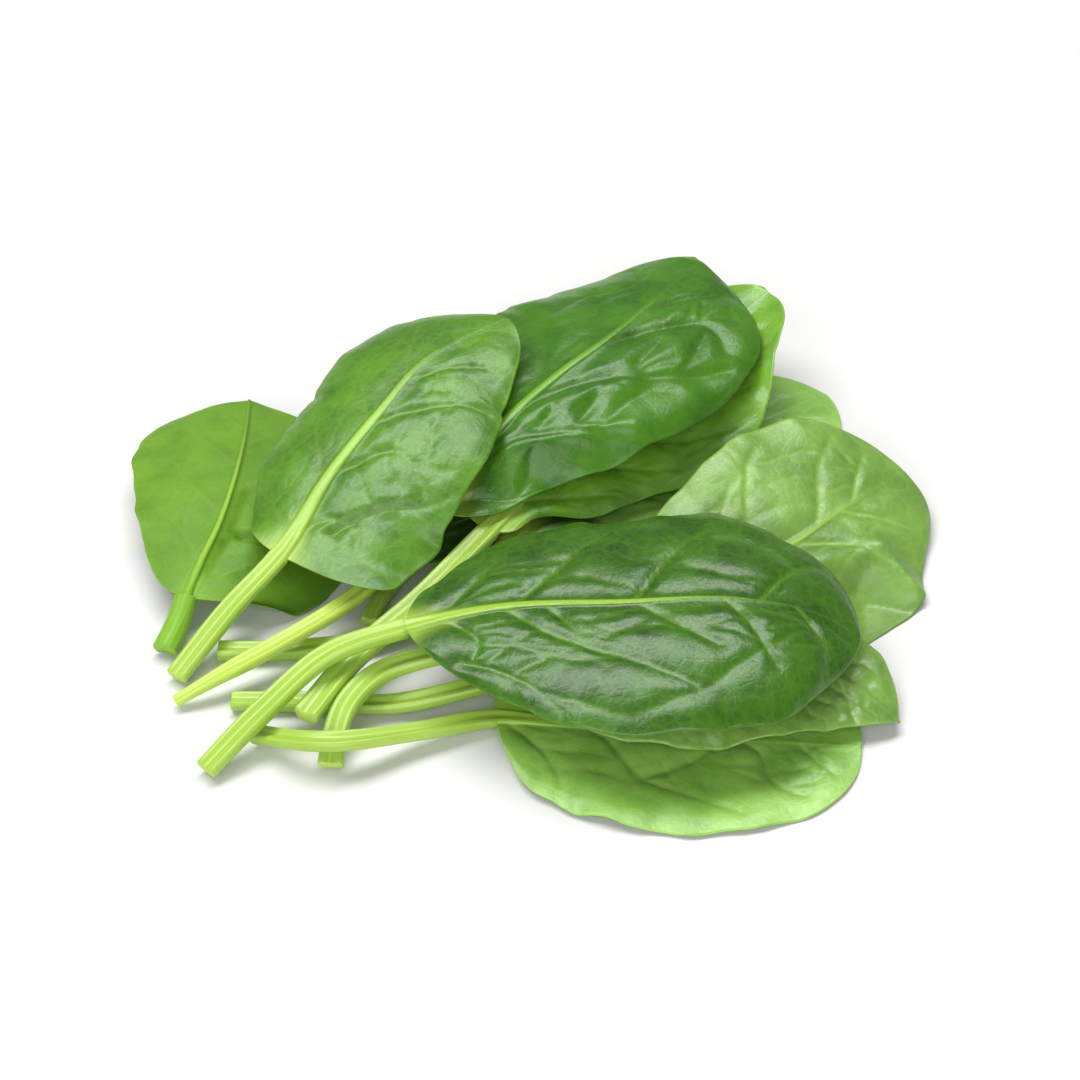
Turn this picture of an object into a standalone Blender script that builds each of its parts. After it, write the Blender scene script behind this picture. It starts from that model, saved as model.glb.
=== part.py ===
"""A loose bunch of spinach: eleven picked leaves lying one over another on a flat surface.

Every leaf is one solid: a stalk with a channel along its top, which runs on as the midrib under a
blade that is waved along its margin and puckered between its side veins.  All leaves are made by
one rule from the values in LEAVES.  Lengths are in millimetres and are scaled to metres at the end;
+Z is up, the surface is z = 0, and the stalks' cut ends are at -X.
"""

from dataclasses import dataclass

import bmesh
import bpy
import numpy as np

MM = 0.001

# What all leaves share
BLADE_THICKNESS = 0.7
VEINS_A_SIDE = 6
ROWS_A_VEIN = 3
COLUMNS_A_SIDE = 5
STALK_ROWS = 7
VEIN_LAG = 0.315
VEIN_BEND = 1.15
ROW_SPREAD = 0.9
STALK_CHANNEL = 0.35
STALK_CHANNEL_WIDTH = 0.5
STALK_CROWN = 0.5
STALK_KEEL = 0.82
STALK_TAPER = 0.12
CURL_START = 0.5
MIDRIB_TAPER = 0.86
MIDRIB_SINK = 0.4
WAVE_SIDE_SHIFT = 1.7
WAVE_START = 5.0
PUCKER_DEPTH = 0.55
PUCKER_PEAK = 0.8
PUCKER_FADE = 4.0
WING_START = 1.5
MARGIN_OVER_RIB = 1.02
LEAST_HALF_WIDTH = 1.0
LEAST_BEND = 1e-6
CHORD_POWER = 0.75
ROUTE_SAMPLES = 900
ROLL_EASE = 121

# The middle of the footprint of all the leaves, which becomes the origin
FOOTPRINT_CENTRE = (-2.5, 9.6)

SHADES = {
    "spinach_dark_green": (0.045, 0.155, 0.022),
    "spinach_mid_green": (0.085, 0.235, 0.03),
    "spinach_light_green": (0.2, 0.37, 0.045),
}
STALK_COLOUR = (0.42, 0.58, 0.13)
LEAF_ROUGHNESS = 0.35
STALK_ROUGHNESS = 0.4
SHARP_EDGE = np.radians(60.0)


@dataclass
class Leaf:
    """One leaf.  Left and right are seen from the cut end, looking along the leaf to its tip."""

    name: str
    shade: str
    route: list
    stalk: float
    width: float
    radius: float = 2.6
    outline: tuple = (0.5, 0.45)
    halves: tuple = (1.0, 1.0)
    skew: tuple = (0.0, 0.0)
    dents: tuple = ()
    rib_fall: float = 0.6
    left: tuple = (0.0, -20.0)
    right: tuple = (0.0, -20.0)
    roll: tuple = (0.0, 0.0, 0.0, 0.0)
    wave: tuple = (0.8, 2.0, 0.0)
    curl: tuple = (0.0, 0.0)
    pucker: float = 1.1


# route: points of the stalk and midrib from the cut end to the tip
# stalk, width, radius: length of the stalk, width of the blade, half width of the stalk
# outline: how fast the blade widens at its base and closes at its tip, lower being blunter
# halves: each half's share of the width; skew: how much wider each half is at its base than at its tip
# dents: side, place, length and depth of each bay in a margin; a depth below zero is a bulge
# rib_fall: how soon the midrib thins, lower being sooner
# left, right: each half's rise at midrib and margin, degrees
# roll: turn about the route at the cut end, blade base, middle and tip, degrees
# wave: height of the margin's wave, its count along the blade and its phase
# curl: how much further each margin rises towards the tip, degrees
LEAVES = [
    Leaf(
        name="leaf_lowest",
        shade="spinach_mid_green",
        route=[(-64.5, -57, 2.5), (-47, -66, 8.9), (-27, -58.5, 5), (-10.5, -52.5, 3),
               (4.5, -53, 2), (25, -55.5, 1.5), (47.5, -57.5, 0.6), (73, -59.5, 0.2)],
        stalk=61, width=62, radius=2.7, outline=(0.42, 0.42),
        left=(2, -3), right=(2, -3), wave=(0.5, 2.5, 0.5),
    ),
    Leaf(
        name="leaf_right",
        shade="spinach_mid_green",
        route=[(-71, -46, 2.5), (-47, -46.5, 2.5), (-34, -47.5, 3), (-19.5, -46, 5.5), (0, -39.5, 7.5),
               (16.5, -27, 8), (38, -15, 8.5), (61.5, 0.5, 11.3), (74, 13, 11.4), (83, 22, 10.2),
               (90.5, 31.5, 8)],
        stalk=92, width=60, radius=2.7, outline=(0.6, 0.42), halves=(1.0, 1.02), skew=(-0.1, 0),
        dents=((1, 0.92, 0.16, 0.22), (1, 0.6, 0.15, -0.1)),
        left=(3, -4), right=(3, -10), roll=(0, 2, 20, 22), wave=(0.8, 2.5, 1.5),
    ),
    Leaf(
        name="leaf_back_right",
        shade="spinach_mid_green",
        route=[(-75.5, -29, 2.7), (-56.5, -28.5, 2.7), (-37.5, -24.5, 3), (-24, -11.5, 4), (-12, 6, 4.5),
               (5, 23, 4), (25, 37, 3.3), (51.5, 56.5, 1.8), (74, 73, 0.4)],
        stalk=90, width=58, radius=2.8, outline=(0.5, 0.5),
        left=(2, -10), right=(4, -8), wave=(0.6, 2, 0),
    ),
    Leaf(
        name="leaf_under_front",
        shade="spinach_mid_green",
        route=[(-47, -67.5, 2.7), (-44, -53.5, 8), (-36.5, -44, 9.5), (-25, -40.5, 11.5), (-4.5, -37.5, 13),
               (23, -38.5, 14.5), (50.5, -40.5, 13), (70, -46, 8), (82, -53.5, 2.5)],
        stalk=60, width=58, radius=3.1, outline=(0.55, 0.8),
        left=(0, -9), right=(0, -30), curl=(0, 25), wave=(1.0, 3, 0),
    ),
    Leaf(
        name="leaf_front",
        shade="spinach_dark_green",
        route=[(-75, -69, 2.7), (-63, -57, 9.2), (-48, -43, 14.5), (-31, -39.5, 19), (-9, -37, 23),
               (18, -37.5, 25), (45.5, -36.5, 25), (64, -36.5, 20), (73.5, -38, 14)],
        stalk=58, width=76, radius=3.1, outline=(0.62, 0.48),
        left=(4, -22), right=(4, -26), wave=(0.8, 2, 0), rib_fall=0.3,
    ),
    Leaf(
        name="leaf_under_top",
        shade="spinach_mid_green",
        route=[(-53, -56.5, 7.8), (-43.5, -40, 9.5), (-28, -20, 11), (-12, 3, 13.2), (5, 30.5, 14.9),
               (25.5, 51, 16), (41, 69.5, 18), (59.5, 87.5, 23)],
        stalk=72, width=60, radius=3.3, outline=(0.5, 0.55),
        dents=((1, 0.08, 0.1, 0.6), (1, 0.3, 0.18, 0.22)),
        left=(6, -20), right=(-8, -30), curl=(0, 75), wave=(1.0, 2.5, 0),
    ),
    Leaf(
        name="leaf_top",
        shade="spinach_mid_green",
        route=[(-84, -46, 2.2), (-73.5, -41, 6), (-62.5, -34, 8), (-41.5, -13.5, 8.5), (-25, 4.5, 16),
               (-9.5, 26, 26.5), (5, 43, 30), (17, 56, 31), (29.5, 74, 30), (42, 95.5, 27)],
        stalk=82, width=68, radius=2.5, outline=(0.45, 0.48), skew=(0, -0.35),
        dents=((1, 0.12, 0.16, 0.22), (1, 0.44, 0.12, 0.08), (-1, 0.62, 0.25, -0.1)),
        left=(-2, -28), right=(-2, -28), wave=(1.2, 2.5, 0), pucker=1.3,
    ),
    Leaf(
        name="leaf_left",
        shade="spinach_light_green",
        route=[(-88, -29, 2.4), (-85.5, -21.5, 4.5), (-83.5, -14, 7.5), (-81, -6, 10), (-77.5, 5, 12.5),
               (-75, 21, 13.5), (-74, 40, 12), (-74.5, 59.5, 8.5)],
        stalk=15, width=67, radius=3.2, outline=(0.5, 0.28), halves=(1.3, 0.8), skew=(0, -0.15),
        dents=((-1, 0.08, 0.1, -0.3),), rib_fall=0.12,
        left=(14, 40), right=(0, 16), roll=(180, 180, 180, 180), wave=(0.6, 2, 0),
    ),
    Leaf(
        name="leaf_centre_left",
        shade="spinach_mid_green",
        route=[(-84.5, -38, 2.6), (-73, -22, 9.2), (-60.5, -7, 15.5), (-50.5, 10, 24), (-39, 25.5, 31),
               (-28.5, 41.5, 34.5), (-8.5, 57.5, 36)],
        stalk=39, width=66, radius=3.0, outline=(0.33, 0.42), halves=(0.76, 1.05), skew=(-0.4, 0.45),
        dents=((1, 0.46, 0.28, 0.14), (1, 0.03, 0.04, -0.2)),
        left=(0, -35), right=(0, -18), wave=(0.9, 2, 0), pucker=1.3,
    ),
    Leaf(
        name="leaf_back",
        shade="spinach_dark_green",
        route=[(-20, -18, 5), (-12, -3.5, 7.2), (-2.5, 15, 8.5), (10, 45.5, 9), (26, 73.5, 9),
               (40.5, 105.5, 5)],
        stalk=30, width=48, radius=2.4,
        left=(0, -20), right=(0, -15), wave=(0.8, 2, 0),
    ),
    Leaf(
        name="leaf_small",
        shade="spinach_dark_green",
        route=[(-40.5, -18.5, 2.3), (-37.5, -8.5, 2.3), (-29, 8, 2.3), (-20.5, 27, 2.2), (-17, 44, 1.5)],
        stalk=24, width=24, radius=2.4,
        left=(0, -8), right=(0, -8), wave=(0.4, 2, 0), pucker=0.5,
    ),
]


def unit(vectors):
    """Vectors scaled to length one."""
    return vectors / np.linalg.norm(vectors, axis=-1, keepdims=True)


def ease(x):
    """0 to 1 with level ends."""
    x = np.clip(x, 0.0, 1.0)
    return x * x * (3.0 - 2.0 * x)


def smooth_route(points):
    """A cubic through the points, finely sampled, and the distance along it."""
    knots = np.asarray(points, float)
    chords = np.linalg.norm(np.diff(knots, axis=0), axis=1)
    times = np.concatenate([[0.0], np.cumsum(chords**CHORD_POWER)])
    steps = np.diff(times)
    slopes = np.diff(knots, axis=0) / steps[:, None]
    tangents = np.zeros_like(knots)
    inner = slopes[:-1] * steps[1:, None] + slopes[1:] * steps[:-1, None]
    tangents[1:-1] = inner / (steps[1:] + steps[:-1])[:, None]
    tangents[0] = 1.5 * slopes[0] - 0.5 * tangents[1]
    tangents[-1] = 1.5 * slopes[-1] - 0.5 * tangents[-2]
    moments = np.linspace(0.0, times[-1], ROUTE_SAMPLES)
    span = np.clip(np.searchsorted(times, moments, side="right") - 1, 0, len(steps) - 1)
    u = ((moments - times[span]) / steps[span])[:, None]
    step = steps[span][:, None]
    line = (2 * u**3 - 3 * u**2 + 1) * knots[span]
    line += (u**3 - 2 * u**2 + u) * step * tangents[span]
    line += (3 * u**2 - 2 * u**3) * knots[span + 1]
    line += (u**3 - u**2) * step * tangents[span + 1]
    arc = np.concatenate([[0.0], np.cumsum(np.linalg.norm(np.diff(line, axis=0), axis=1))])
    return line, arc


class LeafForm:
    """The leaf's surface: a frame that travels along the route, and the blade's two halves across it."""

    def __init__(self, leaf):
        self.leaf = leaf
        self.line, self.arc = smooth_route(leaf.route)
        self.length = self.arc[-1]
        self.blade = self.length - leaf.stalk
        along = unit(np.gradient(self.line, axis=0))
        up = unit(np.array([0.0, 0.0, 1.0]) - along * along[:, 2:])
        across = np.cross(along, up)
        stations = [0.0, leaf.stalk, leaf.stalk + 0.5 * self.blade, self.length]
        roll = np.radians(np.interp(self.arc, stations, leaf.roll))
        window = np.hanning(ROLL_EASE)
        roll = np.convolve(np.pad(roll, ROLL_EASE // 2, mode="edge"), window / window.sum(), "valid")
        cosine = np.cos(roll)[:, None]
        sine = np.sin(roll)[:, None]
        self.up = up * cosine + across * sine
        self.across = across * cosine - up * sine

    def along(self, x, table):
        """A value of the travelling frame x mm from the cut end."""
        return np.stack([np.interp(x, self.arc, table[:, k]) for k in range(3)], axis=-1)

    def half_width(self, x):
        """Half the blade's width x mm from the cut end, for an even leaf."""
        base, tip = self.leaf.outline
        f = np.clip((x - self.leaf.stalk) / self.blade, 0.0, 1.0)
        widest = base / (base + tip)
        shape = f**base * (1.0 - f) ** tip / (widest**base * (1.0 - widest) ** tip)
        return 0.5 * self.leaf.width * shape

    def side_width(self, x, side):
        """Width of the blade's half on one side x mm from the cut end."""
        f = (x - self.leaf.stalk) / self.blade
        share = np.where(side > 0, self.leaf.halves[1], self.leaf.halves[0])
        skew = np.where(side > 0, self.leaf.skew[1], self.leaf.skew[0])
        width = self.half_width(x) * share * (1.0 + skew * (0.5 - f))
        for dent_side, place, length, depth in self.leaf.dents:
            width = width * (1.0 - depth * (side == dent_side) * np.exp(-(((f - place) / length) ** 2)))
        return width

    def rib_radius(self, x):
        """Half width of the stalk, and of the midrib that it thins into."""
        f = np.clip((x - self.leaf.stalk) / self.blade, 0.0, 1.0)
        stalk = 1.0 - STALK_TAPER * np.clip(x / self.leaf.stalk, 0.0, 1.0)
        return self.leaf.radius * stalk * (1.0 - MIDRIB_TAPER * f**self.leaf.rib_fall)

    def stalk_ring(self, x):
        """Upper and lower half of the stalk's outline: a round keel below, a channel along the top."""
        angle = np.linspace(np.pi, 0.0, 2 * COLUMNS_A_SIDE + 1)
        radius = self.rib_radius(x)
        channel = STALK_CHANNEL * np.exp(-(((angle - np.pi / 2) / STALK_CHANNEL_WIDTH) ** 2))
        out = radius * np.cos(angle)
        top = radius * (STALK_CROWN * np.sin(angle) - channel) + 0.5 * BLADE_THICKNESS
        low = -radius * STALK_KEEL * np.sin(angle) - 0.5 * BLADE_THICKNESS
        middle, across, up = (self.along(x, table) for table in (self.line, self.across, self.up))
        flank = middle + out[:, None] * across
        return flank + top[:, None] * up, flank + low[:, None] * up

    def blade_point(self, x, out, side, lift):
        """The point out mm from the midrib, measured over the surface, and lift mm above it."""
        leaf = self.leaf
        width = np.maximum(self.side_width(x, side), LEAST_HALF_WIDTH)
        f = (x - leaf.stalk) / self.blade
        rise = np.radians(np.where(side[:, None] > 0, leaf.right, leaf.left))
        curl = np.radians(np.where(side > 0, leaf.curl[1], leaf.curl[0]))
        rise[:, 1] += curl * ease((f - CURL_START) / (1.0 - CURL_START))
        share = np.clip(out / width, 0.0, 1.0)
        bend = (rise[:, 1] - rise[:, 0]) / width
        bend = np.where(np.abs(bend) < LEAST_BEND, LEAST_BEND, bend)
        angle = rise[:, 0] + bend * share * width
        reach = (np.sin(angle) - np.sin(rise[:, 0])) / bend
        height = (np.cos(rise[:, 0]) - np.cos(angle)) / bend
        beyond = np.maximum(out - width, 0.0)
        reach = reach + beyond * np.cos(angle)
        height = height + beyond * np.sin(angle)
        high, count, phase = leaf.wave
        wave = high * share**2 * np.sin(2 * np.pi * count * f + phase + WAVE_SIDE_SHIFT * side)
        wave = wave * ease(WAVE_START * f)
        off = lift + wave
        sideways = side * (reach - off * np.sin(angle))
        upwards = height + off * np.cos(angle)
        point = self.along(x, self.line) + sideways[:, None] * self.along(x, self.across)
        return point + upwards[:, None] * self.along(x, self.up)

    def blade_row(self, row, rows):
        """One row of the blade, upper and lower points, along the sweep of a side vein."""
        columns = np.arange(-COLUMNS_A_SIDE, COLUMNS_A_SIDE + 1)
        side = np.where(columns < 0, -1.0, 1.0)
        step = np.abs(columns)
        u = row / rows
        margin_x = 0.5 - 0.5 * np.cos(np.pi * u**ROW_SPREAD)
        rib_x = self.leaf.stalk + self.blade * margin_x * (1.0 - VEIN_LAG * (1.0 - u))
        margin_x = self.leaf.stalk + self.blade * margin_x
        rib = self.rib_radius(rib_x)
        half = self.half_width(margin_x)
        margin = np.maximum(self.side_width(margin_x, side), MARGIN_OVER_RIB * rib)
        share = np.clip((step - 1) / (COLUMNS_A_SIDE - 1), 0.0, 1.0)
        out = np.where(step == 0, 0.0, rib + (margin - rib) * share)
        x = rib_x + (margin_x - rib_x) * share**VEIN_BEND
        vein = np.cos(2 * np.pi * (row + (side > 0)) / ROWS_A_VEIN)
        fade = ease(PUCKER_FADE * min(u, 1.0 - u))
        bump = -PUCKER_DEPTH * self.leaf.pucker * vein * np.sin(np.pi * share**PUCKER_PEAK) * fade
        half_thick = 0.5 * BLADE_THICKNESS
        above = bump + np.where(step == 0, MIDRIB_SINK * half_thick, half_thick)
        below = bump + np.where(step == 0, -STALK_KEEL * rib - half_thick, -half_thick)
        top = self.blade_point(x, out, side, above)
        low = self.blade_point(x, out, side, below)
        wing = ease((half - rib) / (WING_START * rib))
        if wing < 1.0:
            ring_top, ring_low = self.stalk_ring(x)
            top = wing * top + (1.0 - wing) * ring_top
            low = wing * low + (1.0 - wing) * ring_low
        return top, low

    def rows(self):
        """All rows from the cut end to just before the tip, then the tip itself."""
        found = [self.stalk_ring(x) for x in np.linspace(0.0, self.leaf.stalk, STALK_ROWS + 1)[:-1]]
        rows = VEINS_A_SIDE * ROWS_A_VEIN
        found += [self.blade_row(row, rows) for row in range(rows)]
        return [press_on_table(top, low) for top, low in found], self.line[-1]


def press_on_table(top, low):
    """Points that would dip under the surface lie flat on it, and keep the blade's thickness."""
    higher = top[:, 2] >= low[:, 2]
    under = np.maximum(np.where(higher, low[:, 2], top[:, 2]), 0.0)
    over = np.maximum(np.where(higher, top[:, 2], low[:, 2]), BLADE_THICKNESS)
    top[:, 2] = np.where(higher, over, under)
    low[:, 2] = np.where(higher, under, over)
    return top, low


def split(mesh, a, b, c, d):
    """Two triangles for the four corners a, b, c, d, always along a to c."""
    mesh.faces.new((a, b, c))
    mesh.faces.new((a, c, d))


def leaf_mesh(leaf):
    """The closed skin of a leaf: upper and lower rows, both margins, the cut end and the tip."""
    rows, tip = LeafForm(leaf).rows()
    mesh = bmesh.new()
    tops = [[mesh.verts.new(point * MM) for point in top] for top, _ in rows]
    lows = [[mesh.verts.new(point * MM) for point in low] for _, low in rows]
    apex = mesh.verts.new((tip[0] * MM, tip[1] * MM, max(tip[2], 0.5 * BLADE_THICKNESS) * MM))
    last = len(tops[0]) - 1
    for near in range(len(rows) - 1):
        far = near + 1
        for k in range(last):
            split(mesh, tops[near][k], tops[far][k], tops[far][k + 1], tops[near][k + 1])
            split(mesh, lows[near][k], lows[near][k + 1], lows[far][k + 1], lows[far][k])
        split(mesh, lows[near][0], lows[far][0], tops[far][0], tops[near][0])
        split(mesh, tops[near][last], tops[far][last], lows[far][last], lows[near][last])
    for k in range(last):
        split(mesh, tops[0][k], tops[0][k + 1], lows[0][k + 1], lows[0][k])
        mesh.faces.new((tops[-1][k], apex, tops[-1][k + 1]))
        mesh.faces.new((lows[-1][k], lows[-1][k + 1], apex))
    mesh.faces.new((tops[-1][0], lows[-1][0], apex))
    mesh.faces.new((tops[-1][last], apex, lows[-1][last]))
    bmesh.ops.recalc_face_normals(mesh, faces=mesh.faces)
    return mesh


def material(name, colour, roughness):
    """A plain Principled finish."""
    made = bpy.data.materials.new(name)
    made.use_nodes = True
    shader = made.node_tree.nodes["Principled BSDF"]
    shader.inputs["Base Color"].default_value = (*colour, 1.0)
    shader.inputs["Roughness"].default_value = roughness
    made.diffuse_color = (*colour, 1.0)
    return made


def leaf_object(leaf, finishes, parent):
    """The leaf as an object: its blade in its own green, its stalk pale."""
    mesh = leaf_mesh(leaf)
    data = bpy.data.meshes.new(leaf.name)
    mesh.to_mesh(data)
    mesh.free()
    data.materials.append(finishes[leaf.shade])
    data.materials.append(finishes["spinach_stalk"])
    stalk_faces = 4 * COLUMNS_A_SIDE * 2 + 4
    for face in data.polygons[: STALK_ROWS * stalk_faces]:
        face.material_index = 1
    data.shade_smooth()
    data.set_sharp_from_angle(angle=SHARP_EDGE)
    made = bpy.data.objects.new(leaf.name, data)
    bpy.context.scene.collection.objects.link(made)
    made.parent = parent
    return made


def main():
    """Clears the scene and lays out the bunch."""
    for old in list(bpy.data.objects):
        bpy.data.objects.remove(old, do_unlink=True)
    finishes = {name: material(name, colour, LEAF_ROUGHNESS) for name, colour in SHADES.items()}
    finishes["spinach_stalk"] = material("spinach_stalk", STALK_COLOUR, STALK_ROUGHNESS)
    bunch = bpy.data.objects.new("bunch", None)
    bunch.location = (-FOOTPRINT_CENTRE[0] * MM, -FOOTPRINT_CENTRE[1] * MM, 0.0)
    bpy.context.scene.collection.objects.link(bunch)
    for leaf in LEAVES:
        leaf_object(leaf, finishes, bunch)


main()
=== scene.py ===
"""Looks of a loose spinach bunch: eleven picked leaves with fine surfaces, veins and skin.

Each leaf replaces its solid and follows the same form: a stalk with a channel on top, which runs on
as the midrib, and two blade halves that arch across it.  The fine surface adds the side veins and
their forks, the puffed panels between them, the small net of veinlets and the ruffled margin.
Sizes are in millimetres and are scaled to metres when a mesh is made; the surface is z = 0.
"""

from __future__ import annotations

import logging
import math
from collections.abc import Callable
from dataclasses import dataclass, field
from enum import Enum

import bpy
import numpy as np
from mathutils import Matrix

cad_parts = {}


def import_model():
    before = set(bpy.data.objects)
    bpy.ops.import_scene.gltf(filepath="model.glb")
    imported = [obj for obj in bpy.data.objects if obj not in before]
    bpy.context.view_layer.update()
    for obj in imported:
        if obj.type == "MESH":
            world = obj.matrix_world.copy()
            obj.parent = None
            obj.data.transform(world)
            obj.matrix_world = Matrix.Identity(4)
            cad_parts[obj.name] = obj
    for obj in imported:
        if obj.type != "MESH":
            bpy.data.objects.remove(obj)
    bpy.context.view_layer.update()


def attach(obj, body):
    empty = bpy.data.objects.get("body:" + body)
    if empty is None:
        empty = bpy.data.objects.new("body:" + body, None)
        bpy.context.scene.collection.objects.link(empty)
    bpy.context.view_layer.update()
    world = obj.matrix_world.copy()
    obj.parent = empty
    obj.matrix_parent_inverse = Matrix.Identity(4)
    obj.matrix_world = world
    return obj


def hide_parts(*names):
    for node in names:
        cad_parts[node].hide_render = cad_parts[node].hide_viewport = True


LOG = logging.getLogger("spinach_bunch")

MM = 0.001
FOOTPRINT_CENTRE = (-2.5, 9.6)

# Form that all leaves share with their solids
ROUTE_SAMPLES = 900
ROLL_EASE = 121
ROW_SPREAD = 0.9
VEIN_LAG = 0.315
VEIN_BEND = 1.15
STALK_CHANNEL = 0.35
STALK_CHANNEL_WIDTH = 0.5
STALK_CROWN = 0.5
STALK_KEEL = 0.82
STALK_TAPER = 0.12
CURL_START = 0.5
MIDRIB_TAPER = 0.86
MIDRIB_CROWN = 0.3
WAVE_SIDE_SHIFT = 1.7
WAVE_START = 5.0
MARGIN_OVER_RIB = 1.02
CHORD_POWER = 0.75

# Fineness of the visible surface
BLADE_THICKNESS = 0.5
MARGIN_THICKNESS = 0.3
BLADE_ROWS = 176
STALK_ROWS = 36
RIB_COLUMNS = 7
BLADE_COLUMNS = 42
TIP_ROW = 0.996
TABLE_CLEARANCE = 0.45
TABLE_SOFTNESS = 0.8
ARCH_START = 9.0
CHANNEL_END = 15.0
COLUMN_SHIFT = 18.0
END_SHRINK = 0.86
END_BEVEL = 0.3
LOWEST_TOP = 0.12
LOWEST_KEEL = 0.02
LOWEST_TIP = 0.3
UV_PER_MM = 0.01

# How the veins are drawn; lengths in mm, shares of a vein's length, angles in radians
VEIN_SAMPLES = 16
VEIN_THINNING = 0.55
FORK_SPANS = ((0.32, 0.45), (0.52, 0.66))
FORK_SIDES = (1.0, -1.0)
FORK_TURN = (0.45, 0.75)
FORK_REACH = (0.2, 0.32)
FORK_WEIGHT = 0.5
FORK_THINNING = 0.6
RUNG_PLACES = (0.34, 0.58, 0.82)
RUNG_SETBACK = 0.1
RUNG_SHAKE = 0.08
RUNG_BOW = 0.18
RUNG_KINK = 0.1
RUNG_WEIGHT = (0.3, 0.5)
SEED_SHAKE = 0.32
NET_SLANT = 0.35
WEAK_VEIN_GAP = 4.5
POINTS_AT_ONCE = 3000

# How the stalk's section varies
FOOT_RUN = 22.0
STALK_WAVE = 0.02
STALK_WAVE_TURN = 0.21
RIDGE_HEIGHT = 0.03
RIDGE_PLACE = 1.75
RIDGE_WIDTH = 0.12
KEEL_RIB_HEIGHT = 0.015
KEEL_RIB_COUNT = 9.0
KEEL_RIB_DRIFT = 0.02
CROWN_LOSS = 0.85
CROWN_RUN = 0.75

# How the fine surface is shaped
VEIN_LINE = (0.3, 0.35)
VEIN_FURROW = (0.55, 0.55)
FURROW_POWER = 1.3
RIB_GAP = (0.3, 0.7)
PANEL_POWER = 1.4
CELL_EVEN = 0.5
CELL_NEAR_VEIN = 1.5
CELL_VEIN_REACH = 3.0
CELL_REACH = 1.1
CELL_POWER = 1.3
MARGIN_FADE = (1.04, 0.22)
RIB_CLEAR = 4.5
BASE_FADE = 16.0
TIP_FADE = 9.0
NET_LINE = 0.55
# Width of the highlight painted as a pale line along the margin, in mm
RIM_HIGHLIGHT_LINE = 0.6
UNEVEN_WAVES = ((0.012, 17.0, 2.1, 1.0), (0.008, 41.0, 4.0, 2.0))
RUFFLE_WAVES = ((5.3, 0.5), (9.1, 0.32), (15.7, 0.18))
CRUMPLE_COUNT = 6
CRUMPLE_LENGTHS = (14.0, 40.0)
UNDER_VEIN = 0.28
RIB_FADE = (0.42, 0.45)
# Strength of the shade painted along the net's lines near the veins, as dark cracks
CRACK_SHADE_STRENGTH = 0.85


class Half(Enum):
    """A blade's half, seen from the cut end towards the tip."""

    LEFT = -1
    RIGHT = 1


class Role(Enum):
    """What a material slot of the record is used for."""

    DARK = "leaf_dark_green"
    MID = "leaf_mid_green"
    LIGHT = "leaf_light_green"


def unit(vectors: np.ndarray) -> np.ndarray:
    """Vectors scaled to length one."""
    return vectors / np.linalg.norm(vectors, axis=-1, keepdims=True)


def ease(x: np.ndarray | float) -> np.ndarray:
    """0 to 1 with level ends: 3x^2 - 2x^3, held at both ends."""
    x = np.clip(x, 0.0, 1.0)
    return x * x * (3.0 - 2.0 * x)


def soft_floor(height: np.ndarray, level: float, softness: float) -> np.ndarray:
    """Heights that come down onto a level in a smooth bend and never go below it.

    Args:
        height: heights in mm.
        level: the level in mm.
        softness: how wide the bend is, in mm.

    Returns:
        The mean of height and level plus half the root of their difference squared and softness squared.
    """
    gap = height - level
    return level + 0.5 * (gap + np.sqrt(gap * gap + softness * softness))


def smooth_through(points: np.ndarray, samples: int) -> np.ndarray:
    """A cubic through points of any dimension, timed by the 3/4 power of their distances.

    Args:
        points: the points, one a row.
        samples: count of points on the curve.

    Returns:
        The curve's points.
    """
    knots = np.asarray(points, float)
    chords = np.linalg.norm(np.diff(knots, axis=0), axis=1)
    times = np.concatenate([[0.0], np.cumsum(chords**CHORD_POWER)])
    steps = np.diff(times)
    slopes = np.diff(knots, axis=0) / steps[:, None]
    tangents = np.zeros_like(knots)
    inner = slopes[:-1] * steps[1:, None] + slopes[1:] * steps[:-1, None]
    tangents[1:-1] = inner / (steps[1:] + steps[:-1])[:, None]
    tangents[0] = 1.5 * slopes[0] - 0.5 * tangents[1]
    tangents[-1] = 1.5 * slopes[-1] - 0.5 * tangents[-2]
    moments = np.linspace(0.0, times[-1], samples)
    span = np.clip(np.searchsorted(times, moments, side="right") - 1, 0, len(steps) - 1)
    u = ((moments - times[span]) / steps[span])[:, None]
    step = steps[span][:, None]
    line = (2 * u**3 - 3 * u**2 + 1) * knots[span]
    line += (u**3 - 2 * u**2 + u) * step * tangents[span]
    line += (3 * u**2 - 2 * u**3) * knots[span + 1]
    line += (u**3 - u**2) * step * tangents[span + 1]
    return line


@dataclass(frozen=True)
class Vein:
    """A side vein on the blade laid flat.

    Attributes:
        half: the blade's half that it lies in.
        points: places along it, each a share of the blade's length and a distance from the midrib in mm.
        weight: its thickness and depth, 1 being a strong vein.
    """

    half: Half
    points: tuple[tuple[float, float], ...]
    weight: float = 1.0


def veins(half: Half, *paths: tuple[tuple[float, float], ...], weight: float = 1.0) -> tuple[Vein, ...]:
    """Several veins of one half and one weight."""
    return tuple(Vein(half, path, weight) for path in paths)


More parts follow.
